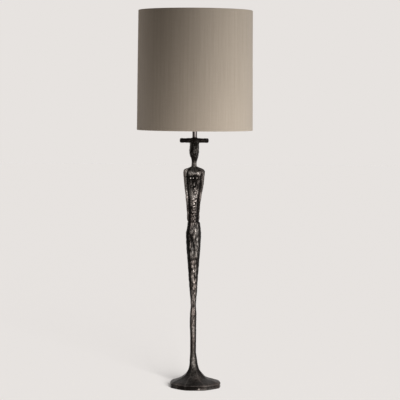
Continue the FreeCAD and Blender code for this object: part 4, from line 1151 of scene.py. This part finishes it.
# sizes of the threads and ribs, in metres, with the level over the lowest of the turned part
holderThread = {"Turns": 9.0, "Thread Radius": 0.0190, "Rise": 0.0225, "Bead": 0.00072, "Level": 0.0118}
ringRibs = {"Ribs": 72, "Ring Radius": 0.0256, "Rib Radius": 0.00075, "Rib Height": 0.0054, "Level": 0.00375}
bulbThread = {"Turns": 4.2, "Thread Radius": 0.0122, "Rise": 0.0148, "Bead": 0.00095, "Level": 0.0016}


def turnedPiece(name):
    node, body, finish, slot, edge, outline = turnedParts[name]
    low = boxLow(node).z
    soft = rounded([(r * mm, low + h * mm) for r, h in outline], edge * mm)
    return settle(lathe(name, soft, steps=112), body, materials[finish], slot, node)


def grownOn(turned, name, makeTree, sizes):
    # a thread or ribs on a turned part, with its body and finish
    node, body, finish, slot = turnedParts[turned][:4]
    level = boxLow(node).z + sizes["Level"]
    piece = growPiece(name, makeTree(materials[finish]), {**sizes, "Level": level})
    return settle(piece, body, None, slot)


def lampholder():
    turnedPiece("riserTube")
    turnedPiece("holderCap")
    turnedPiece("holderBody")
    grownOn("holderBody", "holderThread", threadTree, holderThread)
    turnedPiece("shadeRing")
    grownOn("shadeRing", "shadeRingRibs", ribRingTree, ringRibs)
    turnedPiece("fitterRing")


glass = {"neck": 0.0126, "wall": 0.0008, "join": 0.5, "flare": 0.35, "neckSteps": 22, "ballSteps": 34}


def bulbWall(height, ball, inset):
    # one side of the glass: a hollow curve from the neck out to the ball, then round over the top
    look = glass
    middle = height - ball
    side = []
    for t in np.linspace(0, 1, look["neckSteps"]):
        share = look["flare"] * t + (1 - look["flare"]) * t * t * (3 - 2 * t)
        radius = look["neck"] + (ball * math.cos(look["join"]) - look["neck"]) * share
        side.append((radius - inset, t * (middle - ball * math.sin(look["join"]))))
    for turn in np.linspace(-look["join"], math.pi / 2, look["ballSteps"])[1:]:
        side.append(((ball - inset) * math.cos(turn), middle + (ball - inset) * math.sin(turn)))
    return [(max(radius, 0.0), level) for radius, level in side]


def bulb():
    turnedPiece("bulbCap")
    grownOn("bulbCap", "bulbThread", threadTree, bulbThread)
    low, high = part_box("bulb_glass")
    outer, inner = (bulbWall(high.z - low.z, high.x, inset) for inset in (0.0, glass["wall"]))
    shell = lathe("bulbGlass", outer + inner[::-1], place=(0, 0, low.z))
    settle(shell, "bulb", materials["bulbGlass"], "bulb_glass", "bulb_glass")


def feltPad(edge=0.0004):
    low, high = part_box("felt_pad")
    radius = (high.x - low.x) / 2
    outline = rounded([(0, low.z), (radius, low.z), (radius, high.z), (0, high.z)], edge)
    piece = lathe("feltPad", outline, steps=160, place=((high.x + low.x) / 2, 0, 0))
    return settle(piece, "lamp", materials["blackFelt"], "felt", "felt_pad")


fitterArms()
lampholder()
bulb()
feltPad()
print("lampholder, fitter and bulb in place")

innerParts = {
    "zincPlate": ["base_plate", "base_plate_screws", "core_tube", "tube_washer", "tube_nut"],
    "blackIron": ["ballast_ring"], "blackNylon": ["inlet_bush", "switch_bar"],
    "whiteNylon": ["terminal_block"],
    "satinBrass": ["terminal_block_screws", "reducer_bush", "holder_lock_nut", "holder_terminal_screws",
                   "screw_shell", "centre_contact"],
    "glazedCeramic": ["ceramic_insert"], "blackVitrite": ["bulb_insulator"],
    "bulbNickel": ["bulb_contact"], "bulbGlass": ["bulb_stem"], "yellowPhosphor": ["bulb_filaments"],
    "brownLead": ["live_wire"], "blueLead": ["neutral_wire"], "greenYellowLead": ["earth_wire"],
}
for finish, nodes in innerParts.items():
    for node in nodes:
        dress(node, materials[finish])
print("inner parts dressed")

room = {
    "paper": (0.799, 0.768, 0.745), "floorSize": 14.0, "shadowShare": 0.80, "glow": 0.265,
    "bounce": (0.06, 0.053, 0.046), "worldStrength": 0.04,
}

# a distant light that only the floor receives, for the lamp's soft shadow: side and rise in degrees
floorLight = {
    "power": 9.0, "softness": 24.0, "side": 16.0, "rise": 18.0, "casters": ["footCasting", "core_tube"],
}

# place, what each light is aimed at, width and height, power, spread in degrees and colour, and then
# the pieces that it reaches alone or leaves out
lights = {
    "keyLight": ((1.03, -0.405, 0.42), (0, 0, 0.64), (0.9, 0.9), 12.6, 180, (1.0, 1.0, 1.0),
                 "EXCLUDE", ["floor"]),
    "lowLight": ((-0.02, -0.85, 0.17), (0, 0, 0.75), (0.28, 0.28), 2.68, 180, (1.0, 0.94, 0.89),
                 "EXCLUDE", ["floor"]),
    "edgeLight": ((-1.3, 0.9, 0.70), (0, 0, 0.8), (0.6, 0.6), 6.4, 180, (1.0, 0.92, 0.85),
                  "EXCLUDE", ["floor", "footCasting"]),
    "stripLight": ((0.30, -1.55, 0.32), (0, 0, 0.22), (0.13, 0.62), 1.0, 60, (1.0, 1.0, 1.0),
                   "EXCLUDE", ["floor"]),
    "insideLight": ((0.25, -0.15, 2.3), (0, 0, 0.85), (0.5, 0.5), 8.0, 180, (1.0, 1.0, 1.0),
                    "EXCLUDE", ["floor"]),
    "riserLight": ((0.72, -1.32, 0.64), (0, 0, 0.67), (0.9, 0.5), 30.0, 180, (1.0, 1.0, 1.0),
                   "INCLUDE", ["riserTube"]),
}


def lightGroup(name, state, pieces):
    # the pieces that a light reaches alone, or leaves out
    group = bpy.data.collections.new(name)
    for piece in pieces:
        group.objects.link(bpy.data.objects[piece])
    for member in group.collection_objects:
        member.light_linking.link_state = state
    return group


def areaLight(name, place, target, size, power, spread, colour, state, pieces):
    data = bpy.data.lights.new(name, "AREA")
    data.shape = "RECTANGLE"
    data.size, data.size_y = size
    data.energy = power
    data.color = colour
    data.spread = math.radians(spread)
    light = linked(name, data)
    light.location = place
    light.rotation_euler = (Vector(target) - Vector(place)).to_track_quat("-Z", "Y").to_euler()
    light.light_linking.receiver_collection = lightGroup(name, state, pieces)


def seenRays(tree):
    # rays that show the background: the camera's, and those that metal and glass send on
    rays = addNode(tree, "ShaderNodeLightPath").outputs
    looked = mathOn(tree, "MAXIMUM", rays["Is Camera Ray"], rays["Is Transmission Ray"])
    return mathOn(tree, "MAXIMUM", looked, rays["Is Glossy Ray"])


def blended(tree, factor, first, second):
    return firstOut(tree, "ShaderNodeMixShader", {0: factor, 1: first, 2: second})


def paperMaterial():
    # floor: even paper tone to the camera and in reflections, with the lamp's soft shadow kept;
    # clear from below, so that the lamp can be looked at from there
    made = bpy.data.materials.new("paleFloor")
    made.use_nodes = True
    tree = made.node_tree
    tree.nodes.clear()
    lit = firstOut(tree, "ShaderNodeBsdfDiffuse", {
        "Color": (*(room["shadowShare"] * part for part in room["paper"]), 1)})
    glow = firstOut(tree, "ShaderNodeEmission", {"Color": (*room["paper"], 1), "Strength": room["glow"]})
    seen = firstOut(tree, "ShaderNodeAddShader", {0: lit, 1: glow})
    plain = firstOut(tree, "ShaderNodeBsdfDiffuse", {"Color": (*room["bounce"], 1)})
    below = addNode(tree, "ShaderNodeNewGeometry").outputs["Backfacing"]
    paper = blended(tree, seenRays(tree), plain, seen)
    surface = blended(tree, below, paper, firstOut(tree, "ShaderNodeBsdfTransparent"))
    tree.links.new(surface, addNode(tree, "ShaderNodeOutputMaterial").inputs["Surface"])
    return made


def makeFloor():
    half = room["floorSize"]
    corners = [(-half, -half, 0), (half, -half, 0), (half, half, 0), (-half, half, 0)]
    mesh = bpy.data.meshes.new("floor")
    mesh.from_pydata(corners, [], [(0, 1, 2, 3)])
    mesh.materials.append(paperMaterial())
    linked("floor", mesh)


def makeFloorLight():
    look = floorLight
    data = bpy.data.lights.new("floorLight", "SUN")
    data.energy = look["power"]
    data.angle = math.radians(look["softness"])
    side, rise = math.radians(look["side"]), math.radians(look["rise"])
    way = Vector((math.sin(side) * math.cos(rise), -math.cos(side) * math.cos(rise), math.sin(rise)))
    light = linked("floorLight", data)
    light.rotation_euler = way.to_track_quat("Z", "Y").to_euler()
    light.light_linking.receiver_collection = lightGroup("litFloor", "INCLUDE", ["floor"])
    light.light_linking.blocker_collection = lightGroup("floorShadow", "INCLUDE", look["casters"])


def makeStudio():
    # paper tone where it is looked at, and a faint even light on the lamp
    world = bpy.data.worlds.new("paleStudio")
    bpy.context.scene.world = world
    world.use_nodes = True
    tree = world.node_tree
    tree.nodes.clear()
    soft, seen = (
        firstOut(tree, "ShaderNodeBackground", {"Color": (*room["paper"], 1), "Strength": strength})
        for strength in (room["worldStrength"], 1.0))
    output = addNode(tree, "ShaderNodeOutputWorld")
    tree.links.new(blended(tree, seenRays(tree), soft, seen), output.inputs["Surface"])


cameraView = {"lens": 154.0, "place": (0.0154, -4.5107, 0.7821), "pitchDown": 3.612, "roll": 0.44}


def makeCamera():
    look = cameraView
    data = bpy.data.cameras.new("camera")
    data.lens = look["lens"]
    data.sensor_width = 36.0
    data.clip_end = 60.0
    camera = linked("camera", data)
    turn = (Matrix.Rotation(math.radians(90 - look["pitchDown"]), 4, "X")
            @ Matrix.Rotation(math.radians(look["roll"]), 4, "Z"))
    camera.matrix_world = Matrix.Translation(look["place"]) @ turn
    bpy.context.scene.camera = camera


makeFloor()
makeFloorLight()
makeStudio()
for name, entry in lights.items():
    areaLight(name, *entry)
makeCamera()
bpy.context.scene.view_settings.view_transform = "Standard"
print("room, lights and camera set")
